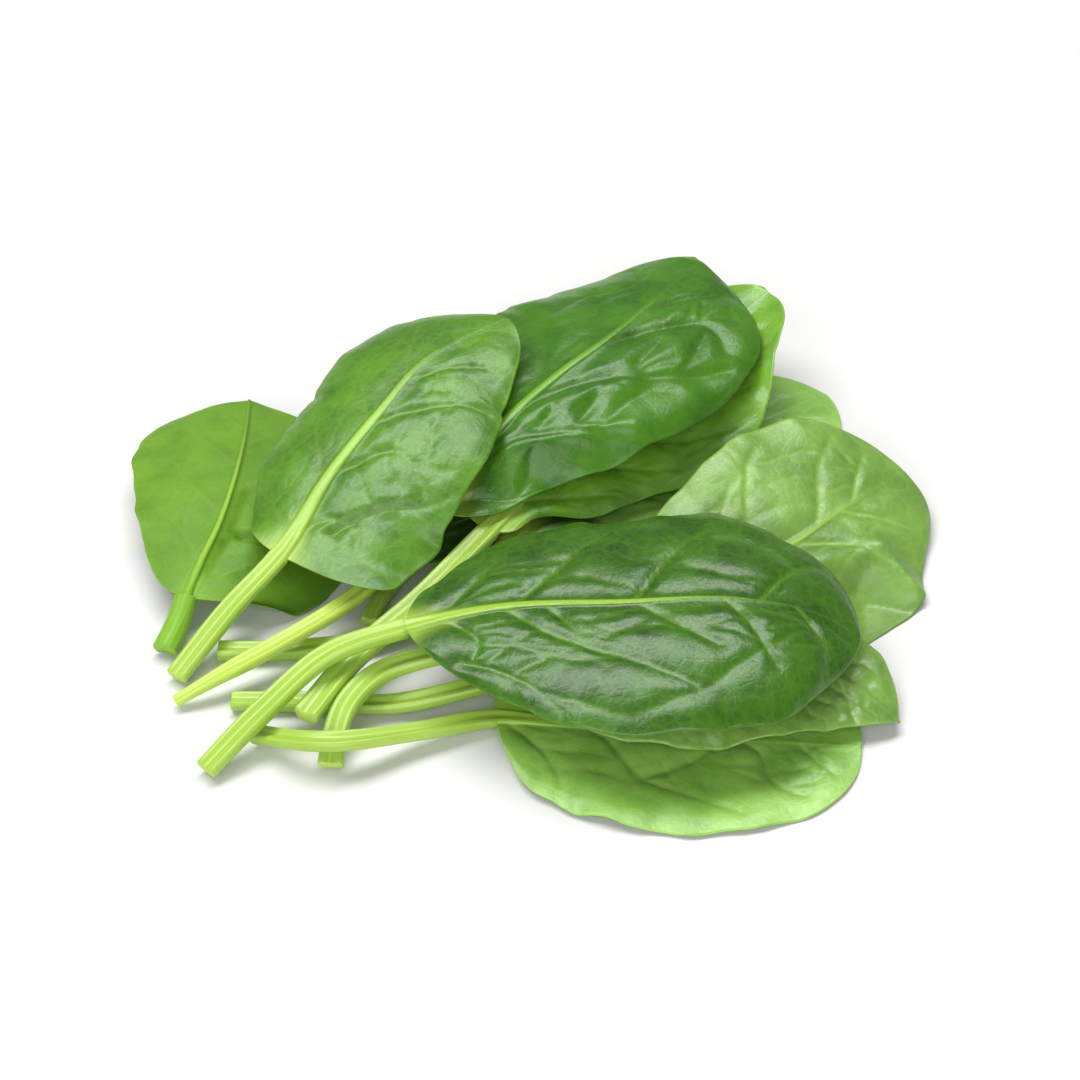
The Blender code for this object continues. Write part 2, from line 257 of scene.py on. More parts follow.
@dataclass(frozen=True)
class Fold:
    """A ridge or a valley on the blade laid flat, between two places, round in section.

    Attributes:
        half: the blade's half that it lies in.
        start, end: its ends, each a share of the blade's length and a distance from the midrib in mm.
        reach: how far to its side it is felt, in mm.
        height: its height in mm, below zero for a valley.
    """

    half: Half
    start: tuple[float, float]
    end: tuple[float, float]
    reach: float
    height: float

    def lift(self, f: np.ndarray, out: np.ndarray, side: np.ndarray, length: float) -> np.ndarray:
        """Heights that the fold adds.

        Args:
            f: shares of the blade's length.
            out: unsigned distances across in mm.
            side: -1 on the left half, 1 on the right.
            length: the blade's length in mm.

        Returns:
            The height times a bell of the distance to the fold's line.
        """
        start = np.array([self.start[0] * length, self.start[1]])
        run = np.array([self.end[0] * length, self.end[1]]) - start
        x = f * length - start[0]
        y = out - start[1]
        place = np.clip((x * run[0] + y * run[1]) / float(run @ run), 0.0, 1.0)
        gap = np.hypot(x - place * run[0], y - place * run[1])
        return self.height * np.exp(-((gap / self.reach) ** 2)) * (side == self.half.value)


@dataclass
class Route:
    """The line of a leaf's stalk and midrib, with a frame that travels along it."""

    points: list[tuple[float, float, float]]
    roll: tuple[float, float, float, float]
    stalk: float
    line: np.ndarray = field(init=False)
    arc: np.ndarray = field(init=False)
    up: np.ndarray = field(init=False)
    across: np.ndarray = field(init=False)

    def __post_init__(self) -> None:
        """Works out the line, its length and its frame."""
        self._draw_line()
        self._turn_frame()

    def _draw_line(self) -> None:
        """The smooth line through the points and the distance along it."""
        line = smooth_through(np.asarray(self.points, float), ROUTE_SAMPLES)
        self.line = line
        self.arc = np.concatenate([[0.0], np.cumsum(np.linalg.norm(np.diff(line, axis=0), axis=1))])

    def _turn_frame(self) -> None:
        """The frame's up is the vertical made square to the line, then turned by the eased roll."""
        along = unit(np.gradient(self.line, axis=0))
        up = unit(np.array([0.0, 0.0, 1.0]) - along * along[:, 2:])
        across = np.cross(along, up)
        blade = self.length - self.stalk
        stations = [0.0, self.stalk, self.stalk + 0.5 * blade, self.length]
        roll = np.radians(np.interp(self.arc, stations, self.roll))
        window = np.hanning(ROLL_EASE)
        roll = np.convolve(np.pad(roll, ROLL_EASE // 2, mode="edge"), window / window.sum(), "valid")
        cosine = np.cos(roll)[:, None]
        sine = np.sin(roll)[:, None]
        self.up = up * cosine + across * sine
        self.across = across * cosine - up * sine

    @property
    def length(self) -> float:
        """Length of stalk and midrib together."""
        return float(self.arc[-1])

    def read(self, x: np.ndarray, table: np.ndarray) -> np.ndarray:
        """A value of the travelling frame x mm from the cut end.

        Args:
            x: distances from the cut end, any shape.
            table: line, up or across.

        Returns:
            The values, with one more axis of three.
        """
        return np.stack([np.interp(x, self.arc, table[:, k]) for k in range(3)], axis=-1)


@dataclass
class Venation:
    """The veins of one blade, drawn on the blade laid flat: x along the midrib, out across it, in mm.

    Attributes:
        blade_start, blade_length: where the blade begins along the leaf, and its length.
        half_width: gives the width of a half for arrays of x and of sides.
        veins: the side veins.
        seed: seed of the forks, rungs and net.
        cell: size of the net's cells.
    """

    blade_start: float
    blade_length: float
    half_width: Callable[[np.ndarray, np.ndarray], np.ndarray]
    veins: tuple[Vein, ...]
    seed: int
    cell: float = 6.5

    def __post_init__(self) -> None:
        """Draws every vein with its forks, the rungs between neighbours and the seeds of the net."""
        rng = np.random.default_rng(self.seed)
        self.starts: list[np.ndarray] = []
        self.ends: list[np.ndarray] = []
        self.weights: list[np.ndarray] = []
        for half in Half:
            paths = [self._draw(vein, rng) for vein in self.veins if vein.half is half]
            for near, far in zip(paths[:-1], paths[1:]):
                self._rungs(near, far, rng)
        self.start = np.concatenate(self.starts).astype(np.float32)
        self.end = np.concatenate(self.ends).astype(np.float32)
        self.weight = np.concatenate(self.weights).astype(np.float32)
        self.seeds = self._net_seeds(rng)

    def _add(self, path: np.ndarray, weight: np.ndarray) -> None:
        """Keeps a path's stretches with their weights.

        Args:
            path: points on the blade laid flat, in mm.
            weight: the vein's thickness at each point.
        """
        self.starts.append(path[:-1])
        self.ends.append(path[1:])
        self.weights.append(0.5 * (weight[:-1] + weight[1:]))

    def _draw(self, vein: Vein, rng: np.random.Generator) -> np.ndarray:
        """One side vein and its forks, which leave it by turns forward and back and bend towards its own way.

        Args:
            vein: the vein.
            rng: source of the forks' places and angles.

        Returns:
            The vein's path.
        """
        points = np.array(vein.points, float)
        points[:, 0] = self.blade_start + points[:, 0] * self.blade_length
        points[:, 1] = points[:, 1] * vein.half.value
        path = smooth_through(points, VEIN_SAMPLES)
        share = np.linspace(0.0, 1.0, len(path))
        self._add(path, vein.weight * (1.0 - VEIN_THINNING * share))
        size = float(np.linalg.norm(np.diff(path, axis=0), axis=1).sum())
        places = [rng.uniform(*span) for span in FORK_SPANS]
        for place, turn in zip(places, FORK_SIDES):
            k = int(place * (len(path) - 1))
            way = math.atan2(*(path[k + 1] - path[k])[::-1])
            turned = way + vein.half.value * turn * rng.uniform(*FORK_TURN)
            reach = size * rng.uniform(*FORK_REACH)
            t = np.linspace(0.0, 1.0, 6)
            angle = turned + 0.5 * t * (way - turned)
            fork = path[k] + reach * t[:, None] * np.stack([np.cos(angle), np.sin(angle)], -1)
            self._add(fork, vein.weight * FORK_WEIGHT * (1.0 - FORK_THINNING * t))
        return path

    def _rungs(self, near: np.ndarray, far: np.ndarray, rng: np.random.Generator) -> None:
        """Weak cross veins between two neighbouring side veins, kinked like a ladder's worn rungs.

        Args:
            near, far: the two side veins' paths.
            rng: source of the rungs' places, bows and weights.
        """
        t = np.linspace(0.0, 1.0, 5)
        for place in RUNG_PLACES:
            i = int((place + rng.uniform(-RUNG_SHAKE, RUNG_SHAKE)) * (len(near) - 1))
            j = int((place - RUNG_SETBACK + rng.uniform(-RUNG_SHAKE, RUNG_SHAKE)) * (len(far) - 1))
            rung = near[i] + t[:, None] * (far[j] - near[i])
            side = (far[j] - near[i])[::-1] * np.array([-1.0, 1.0])
            rung = rung + side * (rng.uniform(-RUNG_BOW, RUNG_BOW) * np.sin(np.pi * t))[:, None]
            rung = rung + side * (rng.uniform(-RUNG_KINK, RUNG_KINK) * np.sin(2.0 * np.pi * t))[:, None]
            self._add(rung, np.full(len(t), rng.uniform(*RUNG_WEIGHT)))

    def _net_seeds(self, rng: np.random.Generator) -> np.ndarray:
        """Seeds of the net's cells: a staggered grid, each seed shaken from its place.

        Args:
            rng: source of the shaking.

        Returns:
            The seeds, x and signed distance across, in mm.
        """
        stations = self.blade_start + self.blade_length * np.linspace(0, 1, 40)
        widest = float(np.max(self.half_width(stations, np.ones(40)))) * 1.3
        along = np.arange(-1.0, self.blade_length / self.cell + 2.0)
        aside = np.arange(-math.ceil(widest / self.cell), math.ceil(widest / self.cell) + 1)
        x, out = np.meshgrid(along, aside)
        x = x + 0.5 * (np.abs(aside) % 2)[:, None]
        x = x + rng.uniform(-SEED_SHAKE, SEED_SHAKE, x.shape)
        out = out + rng.uniform(-SEED_SHAKE, SEED_SHAKE, x.shape)
        x = self.blade_start + self.cell * (x + NET_SLANT * np.abs(out))
        return np.stack([x.ravel(), self.cell * out.ravel()], axis=-1).astype(np.float32)

    def read(self, x: np.ndarray, out: np.ndarray) -> dict[str, np.ndarray]:
        """Closeness to the veins at every point of the blade laid flat.

        The distance to a vein is the distance to the nearest of its straight stretches.  The distance to
        the net is half the difference between the distances to the two nearest seeds.

        Args:
            x: distances along the midrib, any shape.
            out: signed distances across, of the same shape.

        Returns:
            gap: distance to the nearest vein, weak veins counting as further away; line: a thin mask of
            the veins; furrow: a wider one; net: distance to the net's lines; tone: an even random value
            for each cell.
        """
        points = np.stack([x.ravel(), out.ravel()], axis=-1).astype(np.float32)
        run = self.end - self.start
        run_squared = np.maximum((run**2).sum(-1), 1e-9)
        tones = np.random.default_rng(self.seed + 1).uniform(0.0, 1.0, len(self.seeds)).astype(np.float32)
        found: dict[str, list[np.ndarray]] = {"gap": [], "line": [], "furrow": [], "net": [], "tone": []}
        for part in np.array_split(points, max(1, len(points) // POINTS_AT_ONCE)):
            away = part[:, None, :] - self.start
            place = np.clip((away * run).sum(-1) / run_squared, 0.0, 1.0)
            gap = np.linalg.norm(away - place[..., None] * run, axis=-1)
            line = np.exp(-((gap / (VEIN_LINE[0] + VEIN_LINE[1] * self.weight)) ** 2))
            furrow = np.exp(-((gap / (VEIN_FURROW[0] + VEIN_FURROW[1] * self.weight)) ** FURROW_POWER))
            found["gap"].append((gap + WEAK_VEIN_GAP * (1.0 - self.weight)).min(-1))
            found["line"].append((self.weight * line).max(-1))
            found["furrow"].append((self.weight**2 * furrow).max(-1))
            far = np.linalg.norm(part[:, None, :] - self.seeds, axis=-1)
            order = np.argpartition(far, 1, axis=-1)[:, :2]
            two = np.take_along_axis(far, order, axis=-1)
            found["net"].append(0.5 * np.abs(two[:, 0] - two[:, 1]))
            found["tone"].append(tones[np.where(two[:, 0] < two[:, 1], order[:, 0], order[:, 1])])
        return {key: np.concatenate(value).reshape(x.shape).astype(float) for key, value in found.items()}


@dataclass(frozen=True)
class Relief:
    """How strongly the veins shape a blade, in mm.

    Attributes:
        puff: height of the panels between the side veins.
        panel: how far from a vein a panel reaches its height.
        furrow: depth of the furrow at a side vein.
        cell: height of the small cells of the net.
        ruffle: height of the margin's fine waves.
        crumple: height of the slow, irregular waves all over.
        halves: share of the relief on the left and the right half.
    """

    puff: float = 0.85
    panel: float = 2.4
    furrow: float = 0.4
    cell: float = 0.16
    ruffle: float = 0.5
    crumple: float = 0.25
    halves: tuple[float, float] = (1.0, 1.0)


@dataclass
class Leaf:
    """One leaf: its form, as in the solids, and its fine surface.

    Attributes:
        route: points of the stalk and midrib from the cut end to the tip.
        stalk: length of the stalk; width: width of the blade; radius: half width of the stalk.
        outline: how fast the blade widens at its base and closes at its tip, lower being blunter.
        halves: each half's share of the width; skew: how much wider it is at its base than at its tip.
        dents: side, place, length and depth of each bay in a margin; a depth below zero is a bulge.
        rib_fall: how soon the midrib thins, lower being sooner.
        left, right: each half's rise at the midrib and at the margin, in degrees.
        roll: turn about the route at the cut end, blade base, middle and tip, in degrees.
        wave: height of the margin's wave, its count along the blade and its phase.
        curl: how much further each margin rises towards the tip, in degrees.
        relief, folds: how strongly the veins shape the blade, and its single folds.
        veins: the side veins; laterals: their count a side, lean and bend, where veins is empty.
        cell: size of the small net's cells in mm; detail: share of the full count of rows.
        foot: how thin the stalk is at its cut end.
        seed: seed of the veins' forks, the net and the unevenness.
    """

    name: str
    finish: LeafFinish
    route: list[tuple[float, float, float]]
    stalk: float
    width: float
    radius: float = 2.6
    outline: tuple[float, float] = (0.5, 0.45)
    halves: tuple[float, float] = (1.0, 1.0)
    skew: tuple[float, float] = (0.0, 0.0)
    dents: tuple[tuple[float, float, float, float], ...] = ()
    rib_fall: float = 0.6
    left: tuple[float, float] = (0.0, -20.0)
    right: tuple[float, float] = (0.0, -20.0)
    roll: tuple[float, float, float, float] = (0.0, 0.0, 0.0, 0.0)
    wave: tuple[float, float, float] = (0.8, 2.0, 0.0)
    curl: tuple[float, float] = (0.0, 0.0)
    relief: Relief = Relief()
    folds: tuple[Fold, ...] = ()
    laterals: tuple[int, float, float] = (6, 52.0, 16.0)
    veins: tuple[Vein, ...] = ()
    cell: float = 6.5
    foot: float = 0.94
    seed: int = 1
    detail: float = 1.0

    def __post_init__(self) -> None:
        """Works out the route, the blade's length and the veins."""
        self.path = Route(self.route, self.roll, self.stalk)
        self.blade = self.path.length - self.stalk
        if not self.veins:
            self.veins = self._ruled_veins()
        self.venation = Venation(self.stalk, self.blade, self.side_width, self.veins, self.seed, self.cell)

    def _ruled_veins(self) -> tuple[Vein, ...]:
        """Side veins in even steps, alternating from half to half, leaning more towards the tip.

        Returns:
            The veins of both halves.
        """
        rng = np.random.default_rng(self.seed + 7)
        count, lean, bend = self.laterals
        found = []
        for half, shift in ((Half.LEFT, 0.0), (Half.RIGHT, 0.45)):
            for k in range(count):
                start = 0.02 + 0.86 * (k + shift + rng.uniform(-0.12, 0.12)) / count
                angle = lean * (1.0 - 0.15 * k / count)
                found.append(self._ruled_vein(half, max(start, 0.01), angle, bend, rng))
        return tuple(found)

    def _ruled_vein(self, half: Half, start: float, lean: float, bend: float,
                    rng: np.random.Generator) -> Vein:
        """A side vein that leaves the midrib at an angle and turns forward until it nears the margin.

        Args:
            half: the blade's half.
            start: where it leaves the midrib, as a share of the blade's length.
            lean, bend: its angle to the midrib and how much of it is lost along the vein, in degrees.
            rng: source of the small changes.

        Returns:
            The vein.
        """
        t = np.linspace(0.0, 1.0, 40)
        angle = np.radians(lean + rng.uniform(-4.0, 4.0) - bend * t - 25.0 * t**4)
        xs = start * self.blade + self.width * 0.75 * np.cumsum(np.cos(angle)) / len(t)
        outs = self.width * 0.75 * np.cumsum(np.sin(angle)) / len(t)
        limit = 0.88 * self.side_width(self.stalk + xs, np.full(xs.shape, half.value))
        last = max(int(np.logical_and.accumulate(outs < np.maximum(limit, 1.5)).sum()) - 1, 4)
        places = np.linspace(0, last, 4).astype(int)
        points = tuple((float(xs[k] / self.blade), float(outs[k])) for k in places)
        return Vein(half, points, rng.uniform(0.7, 1.0))

    def half_width(self, x: np.ndarray) -> np.ndarray:
        """Half the blade's width: f^base (1 - f)^tip, scaled to its greatest.

        Args:
            x: distances from the cut end in mm.

        Returns:
            The widths in mm.
        """
        base, tip = self.outline
        f = np.clip((x - self.stalk) / self.blade, 0.0, 1.0)
        widest = base / (base + tip)
        return 0.5 * self.width * f**base * (1.0 - f) ** tip / (widest**base * (1.0 - widest) ** tip)

    def form_width(self, x: np.ndarray, side: np.ndarray) -> np.ndarray:
        """Width of one half, as in the solid: half the blade's width, skewed and dented.

        Args:
            x: distances from the cut end in mm.
            side: -1 on the left half, 1 on the right.

        Returns:
            The widths in mm.
        """
        f = (x - self.stalk) / self.blade
        share = np.where(side > 0, self.halves[1], self.halves[0])
        skew = np.where(side > 0, self.skew[1], self.skew[0])
        width = self.half_width(x) * share * (1.0 + skew * (0.5 - f))
        for dent_side, place, length, depth in self.dents:
            width = width * (1.0 - depth * (side == dent_side) * np.exp(-(((f - place) / length) ** 2)))
        return width

    def side_width(self, x: np.ndarray, side: np.ndarray) -> np.ndarray:
        """The form's width times one plus small sines: the margin's small irregularities.

        Args:
            x: distances from the cut end in mm.
            side: -1 on the left half, 1 on the right.

        Returns:
            The widths in mm.
        """
        f = (x - self.stalk) / self.blade
        uneven = 1.0
        for high, cycles, by_side, by_seed in UNEVEN_WAVES:
            uneven = uneven + high * np.sin(cycles * f + by_side * side + by_seed * self.seed)
        return self.form_width(x, side) * uneven

    def rib_radius(self, x: np.ndarray) -> np.ndarray:
        """Half width of the stalk, thinner at its cut end, and of the midrib that it thins into.

        Args:
            x: distances from the cut end in mm.

        Returns:
            The half widths in mm.
        """
        f = np.clip((x - self.stalk) / self.blade, 0.0, 1.0)
        stalk = 1.0 - STALK_TAPER * np.clip(x / self.stalk, 0.0, 1.0)
        stalk = stalk * (self.foot + (1.0 - self.foot) * ease(x / FOOT_RUN))
        stalk = stalk * (1.0 + STALK_WAVE * np.sin(STALK_WAVE_TURN * x + self.seed))
        return self.radius * stalk * (1.0 - MIDRIB_TAPER * f**self.rib_fall)

    def rib_section(self, x: np.ndarray, share: np.ndarray) -> tuple[np.ndarray, np.ndarray]:
        """Heights of the stalk's or midrib's top and keel over the blade's faces.

        The stalk's top is a flat crown with a channel between two ridges, and its keel has fine ribs.
        Past the blade's base the channel fades out and leaves a low round midrib.

        Args:
            x: distances from the cut end.
            share: signed distances across as shares of the half width there.

        Returns:
            Height of the top and depth of the keel, in mm.
        """
        radius = self.rib_radius(x)
        angle = np.arccos(np.clip(share, -1.0, 1.0))
        rise = np.sin(angle)
        fade = ease((x - self.stalk) / CHANNEL_END)
        fall = (angle - np.pi / 2) / STALK_CHANNEL_WIDTH
        channel = STALK_CHANNEL * np.exp(-(fall**2))
        ridges = RIDGE_HEIGHT * np.exp(-((np.abs(fall) - RIDGE_PLACE) ** 2) / RIDGE_WIDTH)
        ribs = KEEL_RIB_HEIGHT * np.cos(KEEL_RIB_COUNT * angle + KEEL_RIB_DRIFT * x) * (1.0 - fade)
        low = 1.0 - CROWN_LOSS * ease((x - self.stalk) / (CROWN_RUN * self.blade))
        crown = (1.0 - fade) * (STALK_CROWN * rise - channel + ridges) + fade * low * MIDRIB_CROWN * rise
        return radius * crown, radius * STALK_KEEL * rise * (1.0 + ribs)

    def arch(self, x: np.ndarray, out: np.ndarray, side: np.ndarray) -> tuple[np.ndarray, np.ndarray]:
        """The blade's middle surface: an arc whose slope goes from the rise at the rib to that at the margin.

        Args:
            x: distances along the midrib.
            out: distances over the surface from the midrib.
            side: -1 on the left half, 1 on the right.

        Returns:
            The points and the unit direction square to the surface in each section.
        """
        width = np.maximum(self.form_width(x, side), 1.0)
        f = (x - self.stalk) / self.blade
        rise_rib = np.radians(np.where(side > 0, self.right[0], self.left[0]))
        rise_edge = np.radians(np.where(side > 0, self.right[1], self.left[1]))
        curl = np.radians(np.where(side > 0, self.curl[1], self.curl[0]))
        rise_edge = rise_edge + curl * ease((f - CURL_START) / (1.0 - CURL_START))
        opened = ease((x - self.stalk) / ARCH_START)
        rise_rib = rise_rib * opened
        rise_edge = rise_edge * opened
        share = np.clip(out / width, 0.0, 1.0)
        bend = (rise_edge - rise_rib) / width
        bend = np.where(np.abs(bend) < 1e-6, 1e-6, bend)
        angle = rise_rib + bend * share * width
        beyond = np.maximum(out - width, 0.0)
        reach = (np.sin(angle) - np.sin(rise_rib)) / bend + beyond * np.cos(angle)
        height = (np.cos(rise_rib) - np.cos(angle)) / bend + beyond * np.sin(angle)
        across = self.path.read(x, self.path.across)
        up = self.path.read(x, self.path.up)
        point = self.path.read(x, self.path.line) + (side * reach)[..., None] * across
        point = point + height[..., None] * up
        square = np.cos(angle)[..., None] * up - (side * np.sin(angle))[..., None] * across
        high, count, phase = self.wave
        swing = np.sin(2 * np.pi * count * f + phase + WAVE_SIDE_SHIFT * side)
        wave = high * share**2 * swing * ease(WAVE_START * f)
        wave = wave + self._ruffle(f, share, side)
        return point + wave[..., None] * square, square

    def _ruffle(self, f: np.ndarray, share: np.ndarray, side: np.ndarray) -> np.ndarray:
        """Fine waves that grow towards the margin: three sines along it, with seeded phases.

        Args:
            f: shares of the blade's length.
            share: shares of the half's width.
            side: -1 on the left half, 1 on the right.

        Returns:
            Heights in mm.
        """
        rng = np.random.default_rng(self.seed + 31)
        total = np.zeros(np.broadcast(f, share).shape)
        for cycles, part in RUFFLE_WAVES:
            phase = rng.uniform(0.0, 2.0 * np.pi)
            total = total + part * np.sin(2.0 * np.pi * cycles * f + phase + 2.3 * side)
        return self.relief.ruffle * total * share**3 * ease(6.0 * f) * ease(6.0 * (1.0 - f))

    def _crumple(self, x: np.ndarray, out: np.ndarray) -> np.ndarray:
        """Slow irregular waves: the sum of sines of seeded directions and lengths.

        Args:
            x: distances along the midrib.
            out: signed distances across.

        Returns:
            Heights in mm.
        """
        rng = np.random.default_rng(self.seed + 53)
        total = np.zeros(np.broadcast(x, out).shape)
        for _ in range(CRUMPLE_COUNT):
            turn = rng.uniform(0.0, np.pi)
            length = rng.uniform(*CRUMPLE_LENGTHS)
            phase = rng.uniform(0.0, 2.0 * np.pi)
            total = total + np.sin(2.0 * np.pi * (x * np.cos(turn) + out * np.sin(turn)) / length + phase)
        return self.relief.crumple * total / 3.0

    def blade_relief(self, x: np.ndarray, out: np.ndarray, side: np.ndarray,
                     read: dict[str, np.ndarray]) -> np.ndarray:
        """Height of the veined surface over the arched one.

        Panels rise with the distance to the nearest vein, furrows sink along the veins, and the net's cells
        swell between their lines.  All of it fades at the rib, the margin and the blade's ends.

        Args:
            x: distances along the midrib.
            out: unsigned distances across.
            side: -1 on the left half, 1 on the right.
            read: what the venation says of the same points.

        Returns:
            Heights in mm.
        """
        relief = self.relief
        width = np.maximum(self.form_width(x, side), 1.0)
        f = (x - self.stalk) / self.blade
        share = np.clip(out / width, 0.0, 1.0)
        gap = np.clip(read["gap"], 0.0, RIB_GAP[0] + RIB_GAP[1] * out)
        panel = relief.puff * (1.0 - np.exp(-((gap / relief.panel) ** PANEL_POWER)) - 0.5)
        near_vein = CELL_EVEN + CELL_NEAR_VEIN * np.exp(-((gap / CELL_VEIN_REACH) ** 2))
        cell = relief.cell * near_vein * (1.0 - np.exp(-((read["net"] / CELL_REACH) ** CELL_POWER)) - 0.5)
        furrow = -relief.furrow * read["furrow"]
        fade = ease((MARGIN_FADE[0] - share) / MARGIN_FADE[1]) * ease(out / RIB_CLEAR)
        fade = fade * ease(BASE_FADE * f) * ease(TIP_FADE * (1.0 - f))
        fade = fade * np.where(side > 0, relief.halves[1], relief.halves[0])
        lift = (panel + cell + furrow) * fade
        lift = lift + self._crumple(x, side * out) * ease(4.0 * f) * ease(out / 5.0)
        for fold in self.folds:
            lift = lift + fold.lift(f, out, side, self.blade) * ease(out / 4.0) * ease(6.0 * f)
        return lift

    def blade_grid(self, rows: int) -> dict[str, np.ndarray]:
        """Places of the blade's points, laid flat, rows swept along the veins.

        Args:
            rows: count of rows.

        Returns:
            x, out, side and share of each point, and each row's rib radius and half width.
        """
        u = np.linspace(0.0, TIP_ROW, rows)[:, None]
        margin_f = 0.5 - 0.5 * np.cos(np.pi * u**ROW_SPREAD)
        rib_x = self.stalk + self.blade * margin_f * (1.0 - VEIN_LAG * (1.0 - u))
        margin_x = self.stalk + self.blade * margin_f
        count = RIB_COLUMNS + BLADE_COLUMNS
        columns = np.arange(-count, count + 1)[None, :]
        side = np.where(columns < 0, -1.0, 1.0)
        step = np.abs(columns)
        rib = self.rib_radius(rib_x)
        margin = np.maximum(self.side_width(margin_x, side), MARGIN_OVER_RIB * rib)
        share = np.clip((step - RIB_COLUMNS) / BLADE_COLUMNS, 0.0, 1.0)
        in_rib = np.sin(0.5 * np.pi * np.clip(step / RIB_COLUMNS, 0.0, 1.0))
        out = rib * in_rib + (margin - rib) * share
        x = rib_x + (margin_x - rib_x) * share**VEIN_BEND
        return {"x": x, "out": out, "side": side + 0.0 * x, "share": share + 0.0 * x, "rib": rib,
                "half": self.half_width(margin_x)}

    def blade_sheets(self, grid: dict[str, np.ndarray]
                     ) -> tuple[np.ndarray, np.ndarray, dict[str, np.ndarray]]:
        """Upper and lower points of the blade and its masks.

        Args:
            grid: what blade_grid gives.

        Returns:
            The upper points, the lower points and the masks of the same points.
        """
        x, out, side, rib = grid["x"], grid["out"], grid["side"], grid["rib"]
        read = self.venation.read(x, side * out)
        middle, square = self.arch(x, out, side)
        middle[..., 2] = soft_floor(middle[..., 2], TABLE_CLEARANCE, TABLE_SOFTNESS)
        relief = self.blade_relief(x, out, side, read)
        half_thick = 0.5 * (BLADE_THICKNESS + (MARGIN_THICKNESS - BLADE_THICKNESS) * grid["share"] ** 4)
        crown, keel = self.rib_section(x, side * out / rib)
        above = relief + half_thick + crown
        under_vein = UNDER_VEIN * read["furrow"] * (1.0 - grid["share"] ** 3)
        below = relief - half_thick - keel - under_vein
        top = middle + above[..., None] * square
        low = middle + below[..., None] * square
        reach = np.clip(out / rib, 0.0, 9.0)
        f = np.clip((x - self.stalk) / self.blade, 0.0, 1.0)
        # Distance to the margin, for the highlight painted along it
        rim = (1.0 - grid["share"]) * grid["half"]
        rib_start, rib_run = RIB_FADE
        rib_left = 1.0 - 0.92 * ease((f - rib_start) / rib_run)
        foot_reach = 2.0 + 5.0 * np.clip(1.0 - 9.0 * f, 0.0, 1.0)
        masks = {
            "vein": read["line"] * ease(out / rib),
            # furrow mask: where shade is painted into the furrows and along the cracks near the veins
            "furrow": self._painted_crease_shade(read) * ease(out / rib - 0.6) * (1.0 - grid["share"] ** 3),
            "rib": np.exp(-(np.maximum(reach - 0.45 + 0.2 * f, 0.0) ** 2) / 0.22) * rib_left,
            "foot": (1.0 - ease(4.5 * f)) * np.exp(-(reach**2) / foot_reach),
            "net": np.exp(-((read["net"] / NET_LINE) ** 2)) * ease(out / 4.0),
            "tone": read["tone"],
            # rim mask: a highlight painted as a pale line along the margin
            "rim": np.exp(-((rim / RIM_HIGHLIGHT_LINE) ** 2)),
        }
        return top, low, masks

    def _painted_crease_shade(self, read: dict[str, np.ndarray]) -> np.ndarray:
        """Where shade is painted on the blade: along the furrows and, near a vein, along the net's lines as
        dark cracks.

        Args:
            read: what the venation says of the points.

        Returns:
            A mask from 0 to 1.
        """
        # Painted shade along the net's lines close to a vein
        crack_shade = np.exp(-((read["net"] / 0.35) ** 2)) * np.exp(-((read["gap"] / 3.5) ** 2))
        return np.clip(np.maximum(read["furrow"], CRACK_SHADE_STRENGTH * crack_shade), 0.0, 1.0)

    def stalk_rings(self, x: np.ndarray) -> tuple[np.ndarray, np.ndarray, np.ndarray]:
        """The stalk's outline at each x, its points spread evenly and, near the blade, as the blade's are.

        Args:
            x: distances from the cut end, one a row.

        Returns:
            The upper points, the lower points and the signed distances across.
        """
        count = RIB_COLUMNS + BLADE_COLUMNS
        columns = np.arange(-count, count + 1)
        even = -np.cos(np.linspace(0.0, np.pi, len(columns)))
        as_blade = np.sign(columns) * np.sin(0.5 * np.pi * np.clip(np.abs(columns) / RIB_COLUMNS, 0.0, 1.0))
        near = ease((x - self.stalk + COLUMN_SHIFT) / COLUMN_SHIFT)[:, None]
        share = even + near * (as_blade - even)
        x_grid = x[:, None] + 0.0 * share
        crown, keel = self.rib_section(x_grid, share)
        out = share * self.rib_radius(x_grid)
        across = self.path.read(x_grid, self.path.across)
        up = self.path.read(x_grid, self.path.up)
        flank = self.path.read(x_grid, self.path.line) + out[..., None] * across
        top = flank + (crown + 0.5 * BLADE_THICKNESS)[..., None] * up
        low = flank - (keel + 0.5 * BLADE_THICKNESS)[..., None] * up
        return top, low, out

    def build(self) -> bpy.types.Object:
        """The whole leaf as one closed mesh with its masks, dressed in its finish.

        Returns:
            The finished object, which stands for the solid of the same name.
        """
        grid = self.blade_grid(int(BLADE_ROWS * self.detail))
        blade_top, blade_low, blade_masks = self.blade_sheets(grid)
        x = np.linspace(0.0, self.stalk, int(STALK_ROWS * self.detail) + 1)[:-1]
        x = np.concatenate([[0.0], x])
        ring_top, ring_low, ring_out = self.stalk_rings(x)
        x_grid = x[:, None] + 0.0 * ring_out
        middle = self.path.line[0]
        ring_top[0] = middle + END_SHRINK * (ring_top[0] - middle)
        ring_low[0] = middle + END_SHRINK * (ring_low[0] - middle)
        bevel = END_BEVEL * unit(self.path.line[1] - middle)
        ring_top[1] += bevel
        ring_low[1] += bevel
        top = np.concatenate([ring_top, blade_top])
        low = np.concatenate([ring_low, blade_low])
        top[..., 2] = np.maximum(top[..., 2], LOWEST_TOP)
        low[..., 2] = np.maximum(low[..., 2], LOWEST_KEEL)
        flat_x = np.concatenate([x_grid, grid["x"]])
        flat_out = np.concatenate([ring_out, grid["side"] * grid["out"]])
        stalk_masks = {"rib": 1.0, "foot": 1.0, "tone": 0.5}
        masks = {}
        for key, value in blade_masks.items():
            masks[key] = np.concatenate([np.full(x_grid.shape, stalk_masks.get(key, 0.0)), value])
        masks["cut"] = np.concatenate([np.zeros(x_grid.shape), 0.0 * grid["x"]])
        masks["cut"][:1] = 1.0
        tip = self.path.line[-1].copy()
        tip[2] = max(tip[2], LOWEST_TIP)
        return self._assemble(top, low, tip, flat_x, flat_out, masks)

